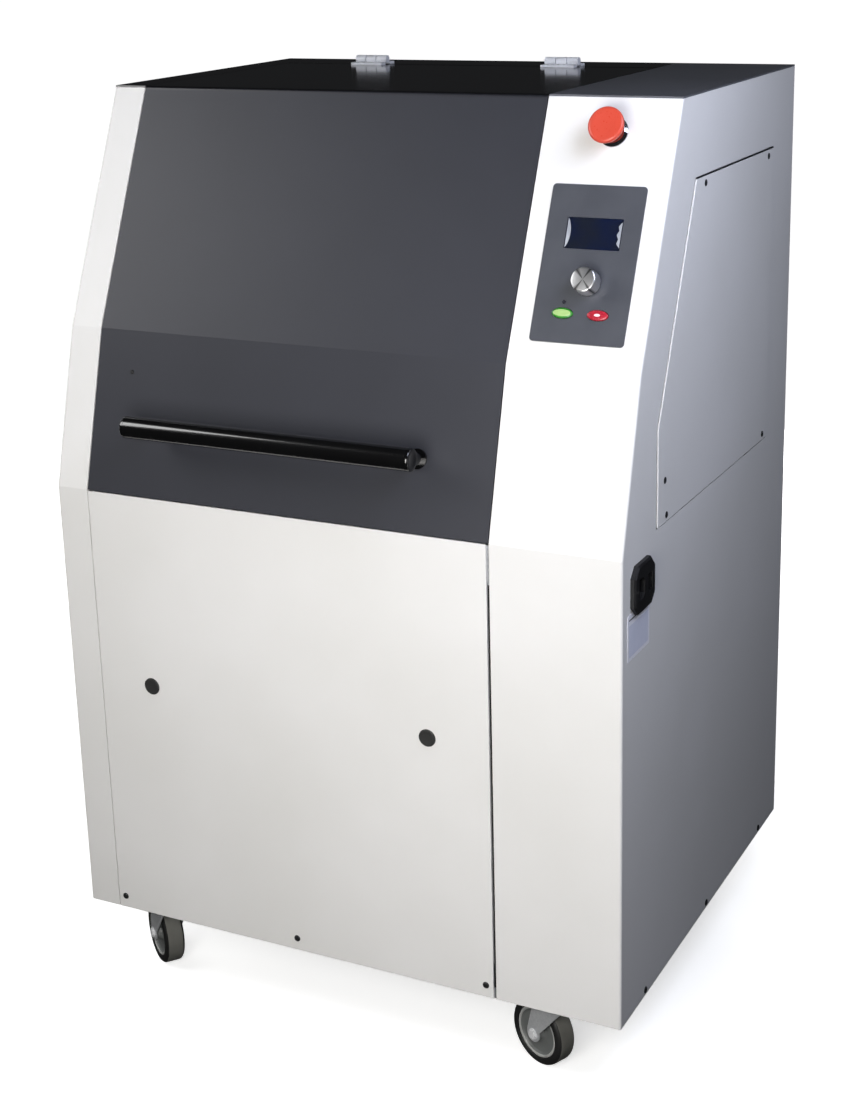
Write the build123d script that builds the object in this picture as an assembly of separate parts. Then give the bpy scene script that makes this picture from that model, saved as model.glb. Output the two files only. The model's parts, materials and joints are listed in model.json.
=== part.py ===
from build123d import *
import math
import os

os.makedirs("parts", exist_ok=True)

# Cabinet outline, millimetres: x to the right, y to the rear, z up from the lower edge of the sheet
width = 700.0
depth = 570.0
height = 980.0
slope_low_rise = 181.0
slope_high_rise = 263.0
bend_mid_y = 50.0
bend_top_y = 169.5
sheet = 2.0
corner_radius = 3.0

# Columns either side of the lid, and the lid between them
left_column = 42.0
right_column = 147.5
column_return = 30.0
lid_gap_left = 1.2
lid_gap_right = 1.2
lid_flange = 25.0
lid_edge_radius = 4.0
rear_strip = 73.0
rear_strip_gap = 2.0
panel_gap_right = 3.5
panel_top_gap = 1.0
lid_bottom_gap = 0.6
housing_flange = 18.0
housing_flange_reach = 100.0

# Base tray, front rail and rear rail
tray_z = 10.0
tray_sheet = 3.0
tray_lip = 15.0
front_rail_height = 44.0
rail_top_gap = 2.0
rail_return = 34.0
rear_rail_depth = 60.0
rear_rail_drop = 40.0
rear_rail_sheet = 2.5

# Side access panel: its insets from the cabinet's edges, and its screws
access_top_drop = 89.0
access_front_y = 100.0
access_bend_drop = 70.0
access_low_rise = 5.0
access_rear_inset = 84.0
access_gap = 1.75
access_seat = 15.0
access_screw_inset = 7.5
access_screw_ends = (29.0, 19.0)
access_screw_front = [(20.7, 46.8), (25.9, 7.5)]

# Screws along the lower edges, and the two round plugs of the front panel
side_screw_ends = (76.0, 73.0)
side_screw_z = 7.0
front_screw_inset = 9.2
front_screw_z = 15.0
screw_shank = 4.0
screw_head = 7.0
screw_head_height = 1.5
screw_length = 9.0
plug_insets = (71.0, 74.2)
plug_z = 303.4
plug_diameter = 20.7
plug_body = 18.0
plug_face = 1.4
plug_depth = 7.0

# Rear ventilation slots
vent_rows = 6
vent_pitch = 16.0
vent_size = (90.0, 6.0)
vent_spacing = 300.0
vent_z = 120.0

# Handle bar across the lower slope of the lid
handle_diameter = 25.0
handle_bore = 20.0
handle_insets = (75.8, 73.3)
handle_along = 79.5
handle_out = 45.0
handle_post_inset = 16.0
handle_post_diameter = 16.0
handle_cap = 4.0
handle_cap_plug = 12.0
handle_edge = 1.5

# Lid hinges
hinge_behind_lid = 3.0
hinge_rise = 6.0
hinge_spacing = 264.0
hinge_width = 44.0
knuckle_radius = 5.3
hinge_pin = 4.0
leaf_thickness = 3.0
leaf_reach = 36.0
knuckle_gap = 0.4

# Gas springs inside the chamber, as offsets from the hinge line
spring_top = (-58.0, -24.0)
spring_foot = (-62.0, -348.0)
spring_wall_gap = 13.5
spring_tube = 18.0
spring_bore = 15.0
spring_rod = 8.0
spring_eye = 16.0
spring_eye_width = 8.0
spring_stud = 8.0
spring_neck = 7.0
spring_tube_length = 190.0
tab_thickness = 3.0

# Grinding chamber
chamber_inset = 30.0
chamber_wall = 1.5
chamber_gap = 8.0
chamber_floor_drop = 56.0
chamber_top_drop = 35.0
chamber_rear_gap = 20.0
deck_clearance = 8.0
insulation = 18.0
insulation_side = 34.0

# Oscillating platform, its buffers, the carrier frame and the motor
sway_room = 6.0
platform_thickness = 16.0
platform_rim = 4.0
bowl_rim = 6.0
buffer_count = 6
buffer_inset = 2.0
buffer_diameter = 40.0
buffer_waist = 30.0
buffer_plate = 3.0
buffer_lip = 2.0
buffer_groove = 12.0
buffer_turn = 30.0
carrier_margin = 30.0
carrier_thickness = 8.0
carrier_leg = 40.0
leg_wall = 3.0
buffer_height = 80.0
pillar_diameter = 22.0
pillar_edge = 2.0
flange_diameter = 216.0
flange_thickness = 12.0
motor_core = 152.0
motor_fins = 170.0
fin_count = 20
fin_thickness = 3.0
motor_length = 250.0
motor_wall = 12.0
fan_cover = 40.0
terminal_box = (90.0, 30.0, 70.0)
shaft_diameter = 25.0
bearing_outer = 52.0
bearing_width = 15.0
rotor_diameter = 110.0
rotor_length = 110.0
eccentric_radius = 72.0
eccentric_height = 36.0
eccentric_rise = 24.0
eccentric_hub = 49.0
air_gap = 3.0

# Grinding set and its clamp
bowl_outer = 200.0
bowl_inner = 172.0
bowl_floor = 15.0
bowl_height = 68.0
ring_outer = 132.0
ring_inner = 100.0
ring_height = 44.0
puck_diameter = 76.0
puck_height = 44.0
lid_disc_height = 14.0
lid_spigot = 6.0
clamp_post_gap = 28.0
clamp_post_width = 24.0
clamp_cheek = 8.0
clamp_pin = 12.0
clamp_rest_lean = 5.0
yoke_width = 30.0
yoke_height = 22.0
spindle_diameter = 16.0
spindle_pad = 34.0
spindle_pad_height = 6.0
spindle_pad_gap = 1.0
yoke_gap = 1.5
spindle_travel = 8.0
spindle_pitch = 4.0
knob_diameter = 70.0
knob_height = 22.0
knob_lobes = 6
knob_scallop = 26.0

# Control fascia on the upper slope of the right column: its lower left corner is so far from the column's
# left edge and up the slope, and what it carries is measured from that corner
fascia_inset = (21.5, 26.0)
fascia_size = (103.5, 167.0)
fascia_thickness = 1.2
fascia_radius = 4.0
display_place = (52.5, 115.5)
display_size = (61.0, 33.0)
encoder_place = (56.0, 64.0)
encoder_shaft_diameter = 6.0
encoder_push = 1.5
dial_diameter = 28.0
dial_height = 17.3
start_place = (32.3, 31.0)
stop_place = (71.0, 31.0)
button_size = (23.0, 11.4)
button_rise = 2.6
button_travel = 1.0
light_place = (32.3, 42.7)
light_diameter = 4.0
board_size = (92.0, 132.0, 16.0)
board_drop = 6.0
board_post = 6.0
glass_recess = 0.4
estop_place = (57.0, 223.5)
estop_head = 39.0
estop_rise = 28.0
estop_cap = 13.0
estop_collar = 32.0
estop_collar_height = 5.0
estop_barrel = 22.0
estop_stem = 12.0
estop_neck = 8.0
estop_travel = 5.0
estop_nut = 30.0
estop_nut_height = 5.0
estop_block = 32.0
estop_deep = 34.0
estop_block_height = 20.0

# Mains unit on the right side
mains_inset = (52.5, 41.5)
mains_size = (59.0, 53.0)
mains_proud = 6.0
mains_body = (48.0, 42.0, 40.0)
mains_corner = 11.0
rocker_size = (13.0, 19.0)
rocker_offset = 14.0
rocker_deep = 6.0
rocker_swing = 8.0
inlet_size = (16.5, 24.0)
inlet_offset = 10.5
inlet_depth = 16.0
inlet_corner = 5.0
inlet_pin = (2.0, 4.0)
inlet_pin_spread = 7.0
inlet_pin_side = 4.0

# Castors
castor_side_inset = 88.3
castor_end_inset = 41.0
castor_trail = 27.0
castor_turns = {"front_left": 142.0, "front_right": 156.4, "rear_left": -60.0, "rear_right": -110.0}
wheel_diameter = 80.0
wheel_width = 25.0
hub_diameter = 61.2
axle_diameter = 8.0
fork_gap = 29.0
fork_sheet = 2.5
fork_eye = 20.0
fork_crown = (18.0, 24.0)
axle_head = (12.0, 3.0)
castor_plate = (62.0, 2.5)
race_diameter = 46.0
race_lip = 3.0
race_taper = 4.0
kingpin_diameter = 10.0
kingpin_nut = (18.0, 3.0)
crown_drop = 16.5
crown_thickness = 3.0
wheel_top_gap = 8.5
hub_boss = 18.0
hub_web = 18.0
hub_edge = 1.5
hub_step = 1.0
tyre_round = 4.0
tyre_crown = 1.0
tyre_shoulder = (3.0, 6.0)
brake_reach = (18.0, 42.0, 64.0)
brake_fall = (1.0, 7.0)
brake_width = 23.0
brake_thickness = 3.0
brake_pin = 5.0

# Frequency inverter on the inner wall of the right housing
inverter_size = (90.0, 130.0, 200.0)
inverter_y = 350.0
inverter_standoff = 8.0
inverter_fins = 8
inverter_fin_gap = 8.0
inverter_fin_depth = 20.0
inverter_foot = (8.0, 5.0)

# Safety sensor of the lid
interlock_inset = 12.0
interlock_length = 40.0

# Clearances
running = 0.1
seat_gap = 0.2
slide_gap = 0.3
hole_gap = 0.25
seam = 0.1

# Places worked out from the sizes above
left = -width / 2
right = width / 2
bend_mid_z = height - slope_high_rise
bend_low_z = bend_mid_z - slope_low_rise
mains_centre = (mains_inset[0], bend_low_z - mains_inset[1])
inverter_centre = (inverter_y, bend_mid_z)
column_left_x = left + left_column
column_right_x = right - right_column
lid_left_x = column_left_x + lid_gap_left
lid_right_x = column_right_x - lid_gap_right
chamber_left_x = column_left_x + chamber_gap
chamber_right_x = column_right_x - chamber_gap
centre_x = (chamber_left_x + chamber_right_x) / 2
lid_rear_y = depth - rear_strip
rear_rail_y = depth - rear_rail_depth
cover_z = height - sheet
tray_top = tray_z + tray_sheet
rail_top_z = bend_low_z - rail_top_gap
rail_low_z = rail_top_z - front_rail_height

panel_left_x = lid_left_x
panel_right_x = column_right_x - panel_gap_right
plug_x = [panel_left_x + plug_insets[0], panel_right_x - plug_insets[1]]
front_screw_ends = (panel_left_x + front_screw_inset, panel_right_x - front_screw_inset)
front_screw_x = [front_screw_ends[0], sum(front_screw_ends) / 2, front_screw_ends[1]]
side_screw_rear = depth - side_screw_ends[1]
side_screw_y = [side_screw_ends[0], (side_screw_ends[0] + side_screw_rear) / 2, side_screw_rear]

handle_ends = (lid_left_x + handle_insets[0], lid_right_x - handle_insets[1])
handle_post_x = [handle_ends[0] + handle_post_inset, handle_ends[1] - handle_post_inset]
hinge_y = lid_rear_y + hinge_behind_lid
hinge_z = height + hinge_rise
hinge_x = [(lid_left_x + lid_right_x + side * hinge_spacing) / 2 for side in (-1, 1)]

chamber_floor_z = bend_low_z - chamber_floor_drop
chamber_rear_y = rear_rail_y - chamber_rear_gap
chamber_centre_y = (chamber_inset + chamber_rear_y) / 2
platform_top = chamber_floor_z + platform_thickness
carrier_top = chamber_floor_z - buffer_height
flange_top = carrier_top - carrier_thickness
motor_bottom = flange_top - flange_thickness - motor_length
carrier_hole = flange_diameter + 2 * sway_room
buffer_circle = (carrier_hole + buffer_diameter) / 2 + buffer_inset
platform_diameter = 2 * buffer_circle + buffer_diameter + 2 * platform_rim
carrier_side = platform_diameter + 2 * carrier_margin
pillar_circle = (flange_diameter - pillar_diameter) / 2 - pillar_edge
spring_x = [chamber_left_x + chamber_wall + spring_wall_gap, chamber_right_x - chamber_wall - spring_wall_gap]

bowl_z = platform_top + slide_gap
bowl_top = bowl_z + bowl_height
bowl_lid_top = bowl_top + slide_gap + lid_disc_height
clamp_post_offset = bowl_outer / 2 + clamp_post_gap
spindle_pad_z = bowl_lid_top + spindle_travel + spindle_pad_gap
clamp_pivot_z = spindle_pad_z + spindle_pad_height + yoke_gap + yoke_height / 2

fascia_corner = (column_right_x + fascia_inset[0], fascia_inset[1])


# A place on the upper slope, measured from the fascia's lower left corner
def from_fascia(place):
    return (fascia_corner[0] + place[0], fascia_corner[1] + place[1])


fascia_at = from_fascia((fascia_size[0] / 2, fascia_size[1] / 2))
display_at = from_fascia(display_place)
encoder_at = from_fascia(encoder_place)
start_at = from_fascia(start_place)
stop_at = from_fascia(stop_place)
light_at = from_fascia(light_place)
estop_at = from_fascia(estop_place)

castor_x = width / 2 - castor_side_inset
castor_places = {
    "front_left": (-castor_x, castor_end_inset),
    "front_right": (castor_x, castor_end_inset),
    "rear_left": (-castor_x, depth - castor_end_inset),
    "rear_right": (castor_x, depth - castor_end_inset),
}
crown_z = tray_z - crown_drop
wheel_z = crown_z - crown_thickness - wheel_top_gap - wheel_diameter / 2
ground_clearance = wheel_diameter / 2 - wheel_z

# The two slopes of the front, as unit vectors up the slope in (y, z)
front_bends = [(0.0, bend_low_z), (bend_mid_y, bend_mid_z), (bend_top_y, height)]


def unit(start, end):
    run = math.dist(start, end)
    return ((end[0] - start[0]) / run, (end[1] - start[1]) / run)


slope_low = unit(front_bends[0], front_bends[1])
slope_high = unit(front_bends[1], front_bends[2])
front_runs = [(0.0, 1.0), slope_low, slope_high]

# The side access panel as (y, z) corners: its front edge runs beside the upper slope
access_top_z = height - access_top_drop
access_low_z = bend_low_z + access_low_rise
access_rear_y = depth - access_rear_inset
access_bend_z = bend_mid_z - access_bend_drop
access_slope_y = access_front_y + (access_top_z - access_bend_z) * slope_high[0] / slope_high[1]
access_outline = [
    (access_slope_y, access_top_z), (access_front_y, access_bend_z), (access_front_y, access_low_z),
    (access_rear_y, access_low_z), (access_rear_y, access_top_z),
]
access_screws = [
    (access_slope_y + access_screw_ends[0], access_top_z - access_screw_inset),
    (access_rear_y - access_screw_ends[1], access_top_z - access_screw_inset),
    (access_rear_y - access_screw_ends[1], access_low_z + access_screw_inset),
]
access_screws += [(access_front_y + along, access_low_z + up) for along, up in access_screw_front]


# A point measured up a slope and out from its face, in (y, z)
def on_slope(start, run, along, out):
    return (start[0] + run[0] * along - run[1] * out, start[1] + run[1] * along + run[0] * out)


handle_at = on_slope(front_bends[0], slope_low, handle_along, handle_out)
upper = Plane(
    origin=(0, bend_mid_y, bend_mid_z), x_dir=(1, 0, 0), z_dir=(0, -slope_high[1], slope_high[0])
)
lower = Plane(origin=(0, 0, bend_low_z), x_dir=(1, 0, 0), z_dir=(0, -slope_low[1], slope_low[0]))

# The whole part is set down with its box centred over the origin and its wheels on z = 0
handle_front = handle_at[0] - handle_diameter / 2
box_left = left - screw_head_height
box_right = right + mains_proud
shift = (-(box_left + box_right) / 2, -(handle_front + depth) / 2, ground_clearance)


def placed(x, y, z):
    return (x + shift[0], y + shift[1], z + shift[2])


def save(name, *solids):
    shape = Compound(children=list(solids)) if len(solids) > 1 else solids[0]
    export_step(Pos(*shift) * shape, f"parts/{name}.step")


# Plain solids by their limits
def block(x0, x1, y0, y1, z0, z1):
    return Pos((x0 + x1) / 2, (y0 + y1) / 2, (z0 + z1) / 2) * Box(x1 - x0, y1 - y0, z1 - z0)


def bar_x(diameter, x0, x1, y, z):
    return Pos((x0 + x1) / 2, y, z) * Rot(0, 90, 0) * Cylinder(diameter / 2, x1 - x0)


def bar_y(diameter, y0, y1, x, z):
    return Pos(x, (y0 + y1) / 2, z) * Rot(90, 0, 0) * Cylinder(diameter / 2, y1 - y0)


def bar_z(diameter, z0, z1, x=0.0, y=0.0):
    return Pos(x, y, (z0 + z1) / 2) * Cylinder(diameter / 2, z1 - z0)


def prism_x(outline, x0, x1):
    face = Face(Wire.make_polygon([(x0, y, z) for y, z in outline], close=True))
    return extrude(face, amount=x1 - x0, dir=(1, 0, 0))


def prism_z(outline, z0, z1):
    face = Face(Wire.make_polygon([(x, y, z0) for x, y in outline], close=True))
    return extrude(face, amount=z1 - z0, dir=(0, 0, 1))


def turned(outline):
    face = Face(Wire.make_polygon([(r, 0, z) for r, z in outline], close=True))
    return revolve(face, Axis.Z, 360)


# The front line of the cabinet set in by some distance, from one height to another
def front_line(inset, z_low, z_high):
    points = []
    for index in range(2):
        first = (-front_runs[index][1], front_runs[index][0])
        second = (-front_runs[index + 1][1], front_runs[index + 1][0])
        share = inset / (1 + first[0] * second[0] + first[1] * second[1])
        corner = front_bends[index]
        points.append((corner[0] - (first[0] + second[0]) * share, corner[1] - (first[1] + second[1]) * share))
    climb = (z_high - points[1][1]) / slope_high[1]
    top = (points[1][0] + slope_high[0] * climb, z_high)
    if z_low < points[0][1]:
        return [(inset, z_low), points[0], points[1], top]
    rise = (z_low - points[0][1]) / slope_low[1]
    return [(points[0][0] + slope_low[0] * rise, z_low), points[1], top]


# A sheet or slab that follows the front, between two insets
def front_strip(outer, inner, z_low, z_high, x0, x1):
    outline = front_line(outer, z_low, z_high) + front_line(inner, z_low, z_high)[::-1]
    return prism_x(outline, x0, x1)


# A closed outline moved outwards by some distance, corner by corner
def grown(outline, amount):
    count = len(outline)
    moved = []
    for index in range(count):
        before = unit(outline[index - 1], outline[index])
        after = unit(outline[index], outline[(index + 1) % count])
        first = (-before[1], before[0])
        second = (-after[1], after[0])
        share = amount / (1 + first[0] * second[0] + first[1] * second[1])
        y, z = outline[index]
        moved.append((y - (first[0] + second[0]) * share, z - (first[1] + second[1]) * share))
    return moved


# A round-headed screw at the origin, its head up +z and its shank down
def panel_screw():
    dome = screw_head / 2
    head = turned([(0, 0), (dome, 0), (dome * 0.86, screw_head_height * 0.7), (0, screw_head_height)])
    return head + bar_z(screw_shank, -screw_length, 0)


# A countersunk screw, flush with the sheet, or the room that it needs
def flush_screw(room=0.0):
    head, shank = screw_head / 2 + room, screw_shank / 2 + room
    cone = turned([(0, 0), (head, 0), (shank, shank - head), (0, shank - head)])
    return cone + bar_z(2 * shank, -screw_length, 0)


def facing(x, y, z, direction):
    return Plane(origin=(x, y, z), z_dir=direction).location


def side_screw_places():
    places = [(right, y, z, (1, 0, 0)) for y, z in access_screws]
    for y in side_screw_y:
        places.append((right, y, side_screw_z, (1, 0, 0)))
        places.append((left, y, side_screw_z, (-1, 0, 0)))
    return places


def front_screw_places():
    return [(x, 0, front_screw_z, (0, -1, 0)) for x in front_screw_x]


def rear_screw_places():
    inset = housing_flange / 2
    levels = [4 * inset, height / 2, cover_z - rear_rail_drop - 4 * inset]
    return [(x, depth, z, (0, 1, 0)) for x in (left + inset, right - inset) for z in levels]


# Drills the shank holes of the screws that fall in a sheet
def drilled(shape, places):
    for x, y, z, direction in places:
        shape -= facing(x, y, z, direction) * bar_z(screw_shank + 2 * running, -2 * screw_length, screw_length)
    return shape


# One side of the cabinet: side sheet, three-plane column and its return, or a full inner wall
def side_shell(outer_x, inner_x, return_depth=None):
    side = 1 if outer_x > inner_x else -1
    low, high = sorted((outer_x, inner_x))
    outline = front_line(0, 0, cover_z) + [(depth - sheet, cover_z), (depth - sheet, 0)]
    body = prism_x(outline, low, high)
    corners = [
        edge for edge in body.edges().filter_by(GeomType.LINE)
        if abs(edge.center().X - outer_x) < 0.01 and abs(edge.tangent_at(0.5).X) < 0.5
        and edge.center().Y < bend_top_y and sheet < edge.center().Z < cover_z - sheet
    ]
    body = fillet(corners, corner_radius)
    core = front_line(sheet, -1, height) + [(depth, height), (depth, -1)]
    body -= prism_x(core, low + sheet, high - sheet)
    wall = sorted((inner_x - side, inner_x + side * (sheet + 1)))
    if return_depth:
        deep = front_line(return_depth, -1, height) + [(depth, height), (depth, -1)]
        body -= prism_x(deep, *wall)
    body -= block(*wall, sheet, depth, -1, tray_top)
    flange_inner = outer_x - side * housing_flange
    face = outer_x - side * sheet
    body += block(*sorted((face, flange_inner)), rear_rail_y - housing_flange_reach, depth - sheet, cover_z - sheet, cover_z)
    body += block(*sorted((face, flange_inner)), depth - 2 * sheet, depth - sheet, tray_top, cover_z)
    return drilled(body, rear_screw_places())


def left_housing():
    shell = side_shell(left, column_left_x, column_return)
    shell -= rear_rail_space()
    save("left_housing", drilled(shell, side_screw_places()))


# Holes in the sloping face of the right column for everything that passes through it
def control_openings():
    depth_cut = 4 * sheet
    wide, tall = display_size
    cuts = [Pos(*display_at, 0) * Box(wide + 2 * hole_gap, tall + 2 * hole_gap, depth_cut)]
    cuts.append(Pos(*encoder_at, 0) * Cylinder(encoder_shaft_diameter / 2 + 1, depth_cut))
    cuts.append(Pos(*light_at, 0) * Cylinder(light_diameter / 2 + running, depth_cut))
    for place in (start_at, stop_at):
        cuts.append(Pos(*place, -depth_cut / 2) * oval(hole_gap, depth_cut))
    return [upper.location * cut for cut in cuts]


# An oval button outline grown by some distance and drawn up from its base
def oval(grow, tall):
    long, short = button_size
    squeeze = (short / 2 + grow) / (long / 2 + grow)
    return extrude(Ellipse(long / 2 + grow, (long / 2 + grow) * squeeze), amount=tall)


# The right housing has a full inner wall, so that it closes the electronics off
def right_housing():
    shell = side_shell(right, column_right_x)
    shell -= prism_x(grown(access_outline, access_gap), right - sheet - 1, right + 1)
    seat = prism_x(grown(access_outline, access_seat), right - 2 * sheet, right - sheet)
    seat -= prism_x(grown(access_outline, -access_seat), right - 3 * sheet, right)
    shell += seat
    for cut in control_openings():
        shell -= cut
    shell -= upper.location * Pos(*estop_at, 0) * Cylinder(estop_barrel / 2 + running, 4 * sheet)
    wide, tall = mains_body[0] / 2 + hole_gap, mains_body[1] / 2 + hole_gap
    y, z = mains_centre
    shell -= block(right - sheet - 1, right + 1, y - wide, y + wide, z - tall, z + tall)
    save("right_housing", drilled(shell, side_screw_places()))


def rear_rail_space():
    return block(left + sheet, column_right_x, rear_rail_y, depth - 2 * sheet, cover_z - rear_rail_drop, cover_z)


# The hinge rail: a channel, open downwards, between the left side and the right housing
def rear_rail():
    wall = rear_rail_sheet
    rail = rear_rail_space()
    rail -= block(
        left, column_right_x + 1, rear_rail_y + wall, depth - 2 * sheet - wall,
        cover_z - rear_rail_drop - 1, cover_z - wall
    )
    save("rear_hinge_rail", rail)


# Dark sheet that closes the top behind and beside the lid
def top_cover():
    slope = (bend_top_y - front_line(0, 0, cover_z)[-1][0])
    edge = [(bend_top_y - slope, cover_z), (bend_top_y, height), (depth, height), (depth, cover_z)]
    cover = prism_x(edge, left, column_left_x)
    cover += block(left, column_right_x, lid_rear_y + rear_strip_gap, depth, cover_z, height)
    save("top_cover", cover)
    save("right_top_cover", prism_x(edge, column_right_x, right))


def rear_panel():
    panel = block(left, right, depth - sheet, depth, 0, cover_z)
    long, tall = vent_size
    slot = extrude(SlotOverall(long, tall), amount=2 * sheet, both=True)
    for side in (-1, 1):
        for row in range(vent_rows):
            panel -= Pos(side * vent_spacing / 2, depth, vent_z + row * vent_pitch) * Rot(90, 0, 0) * slot
    for place in rear_screw_places():
        panel -= facing(*place) * flush_screw(running)
    save("rear_panel", panel)


# Removable service panel, a shallow pan with flanges on three edges
def front_panel():
    x0, x1 = panel_left_x, panel_right_x
    top = bend_low_z - panel_top_gap
    panel = block(x0, x1, 0, sheet, 0, top)
    flange = 10 * sheet
    for x in (x0, x1 - sheet):
        panel += block(x, x + sheet, 0, flange, tray_top + 2 * tray_lip, rail_low_z - sheet)
    for x in plug_x:
        panel -= bar_y(plug_body + 2 * running, -1, sheet + 1, x, plug_z)
    save("front_panel", drilled(panel, front_screw_places()))


def hole_plugs():
    plugs = []
    for x in plug_x:
        face = plug_diameter / 2
        body = plug_body / 2
        plug = turned([
            (0, 0), (0, plug_face), (face - 1, plug_face), (face, plug_face / 3), (face, 0),
            (body, 0), (body, -sheet), (body + 0.4, -sheet - 1.5), (body - 1, -plug_depth), (body - 2, -plug_depth),
            (body - 2, 0),
        ])
        plugs.append(facing(x, 0, plug_z, (0, -1, 0)) * plug)
    save("hole_plugs", *plugs)


def access_panel():
    panel = prism_x(access_outline, right - sheet, right)
    save("side_access_panel", drilled(panel, side_screw_places()))


def panel_screws():
    screws = [facing(*place) * panel_screw() for place in side_screw_places() + front_screw_places()]
    screws += [facing(*place) * flush_screw() for place in rear_screw_places()]
    save("panel_screws", *screws)


# Tray that carries everything inside, with its flanges turned down and a lip at the front
def base_tray():
    x0, x1 = left + sheet, right - sheet
    y0, y1 = sheet, depth - sheet
    tray = block(x0, x1, y0, y1, 0, tray_top)
    tray -= block(x0 + tray_sheet, x1 - tray_sheet, y0 + tray_sheet, y1 - tray_sheet, -1, tray_z)
    front_x = (column_left_x + 2 * sheet, column_right_x - 2 * panel_gap_right)
    tray += block(*front_x, y0, y0 + tray_sheet, tray_top, tray_top + tray_lip)
    tray = drilled(tray, side_screw_places() + front_screw_places())
    save("base_tray", tray)


# Channel across the front under the lid's lower edge
def front_rail():
    x0, x1 = column_left_x, column_right_x
    rail = block(x0, x1, sheet, 2 * sheet, rail_low_z, rail_top_z)
    rail += block(x0, x1, sheet, chamber_inset, rail_top_z - sheet, rail_top_z)
    rail += block(x0, x1, chamber_inset - sheet, chamber_inset, rail_top_z - rail_return, rail_top_z)
    save("front_cross_rail", rail)


# Rounds the edges of a prism along x that run through some (y, z) corners
def rounded_bends(shape, corners, radius):
    edges = [
        edge for edge in shape.edges().filter_by(Axis.X)
        if any(math.dist((edge.center().Y, edge.center().Z), corner) < 0.01 for corner in corners)
    ]
    return fillet(edges, radius)


# The lid: one bent sheet with flanges all round and two tabs for the gas springs
def lid_shell():
    bottom = bend_low_z + lid_bottom_gap
    outer = front_line(0, bottom, height) + [(lid_rear_y, height), (lid_rear_y, height - lid_flange)]
    outer += front_line(lid_flange, bottom, height - lid_flange)[::-1]
    shell = prism_x(outer, lid_left_x, lid_right_x)
    shell = rounded_bends(shell, [front_bends[2], (lid_rear_y, height)], lid_edge_radius)
    inner = front_line(sheet, bottom + sheet, cover_z) + [(lid_rear_y - sheet, cover_z), (lid_rear_y - sheet, 0)]
    inner_bends = [inner[-3], inner[-2]]
    inner += [(lid_rear_y - 4 * lid_flange, 0), (2 * lid_flange, bottom + sheet)]
    core = prism_x(inner, lid_left_x + sheet, lid_right_x - sheet)
    shell -= rounded_bends(core, inner_bends, lid_edge_radius - sheet)
    tab_y = hinge_y + spring_top[0]
    tab_z = hinge_z + spring_top[1]
    half = spring_eye / 2 + 2
    for x, side in zip(spring_x, (1, -1)):
        near = x + side * (spring_eye_width / 2 + 1.5)
        limits = sorted((near, near + side * tab_thickness))
        shell += block(*limits, tab_y - half, tab_y + half, tab_z - half, cover_z)
    save("lid_shell", shell)


# Sound insulation glued inside the lid
def lid_insulation():
    low = bend_low_z + lid_flange
    reach = lid_rear_y - lid_flange
    outline = front_line(sheet, low, cover_z) + [(reach, cover_z), (reach, cover_z - insulation)]
    outline += front_line(sheet + insulation, low, cover_z - insulation)[::-1]
    slab = prism_x(outline, lid_left_x + insulation_side, lid_right_x - insulation_side)
    save("lid_insulation", rounded_bends(slab, [front_line(sheet, low, cover_z)[-1]], lid_edge_radius))


# A tube with a plug in each end, on two round posts with a flange at the lid
def handle():
    y, z = handle_at
    x0, x1 = handle_ends
    tube = bar_x(handle_diameter, x0 + handle_cap, x1 - handle_cap, y, z)
    tube -= bar_x(handle_bore, x0, x1, y, z)
    caps = []
    for end, side in ((x0, 1), (x1, -1)):
        seat = end + side * handle_cap
        cap = bar_x(handle_diameter, *sorted((end, seat)), y, z)
        rim = cap.edges().sort_by(Axis.X)[0 if side > 0 else -1]
        cap = fillet(rim, handle_edge)
        plug = handle_bore - 2 * running
        caps.append(cap + bar_x(plug, *sorted((seat, seat + side * handle_cap_plug)), y, z))
    save("handle_bar", tube, *caps)
    posts = []
    for x in handle_post_x:
        post = lower.location * Pos(x, handle_along, handle_out / 2) * Cylinder(handle_post_diameter / 2, handle_out)
        post += lower.location * Pos(x, handle_along, 1.5) * Cylinder(handle_post_diameter / 2 + 3, 3)
        posts.append(post - bar_x(handle_diameter, *handle_ends, y, z))
    save("handle_posts", *posts)


# One leaf with its share of the knuckles; the middle third belongs to the lid
def hinge_leaf(x, side, thirds):
    near = hinge_y + side * (knuckle_radius + 0.5)
    far = hinge_y + side * leaf_reach
    half = hinge_width / 2
    z0, z1 = height, height + leaf_thickness
    leaf = block(x - half, x + half, *sorted((near, far)), z0, z1)
    third = hinge_width / 3
    for index in thirds:
        x0 = x - half + index * third + (knuckle_gap / 2 if index else 0)
        x1 = x - half + (index + 1) * third - (knuckle_gap / 2 if index < 2 else 0)
        leaf += bar_x(2 * knuckle_radius, x0, x1, hinge_y, hinge_z)
        leaf += block(x0, x1, *sorted((hinge_y, near)), z0 + 1, z1)
    return leaf


def hinges():
    bases = []
    leaves = []
    for x in hinge_x:
        pin = bar_x(hinge_pin, x - hinge_width / 2, x + hinge_width / 2, hinge_y, hinge_z)
        bases.append(hinge_leaf(x, 1, (0, 2)) + pin)
        bore = bar_x(hinge_pin + 2 * running, x - hinge_width, x + hinge_width, hinge_y, hinge_z)
        leaves.append(hinge_leaf(x, -1, (1,)) - bore)
    save("hinge_bases", *bases)
    save("hinge_leaves", *leaves)


# Local frame of a gas spring: origin at the foot stud, z towards the rod eye
def spring_frame(x):
    foot = (x, hinge_y + spring_foot[0], hinge_z + spring_foot[1])
    lean = (0, spring_top[0] - spring_foot[0], spring_top[1] - spring_foot[1])
    return Plane(origin=foot, x_dir=(1, 0, 0), z_dir=lean).location


def spring_length():
    return math.dist(spring_top, spring_foot)


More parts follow.
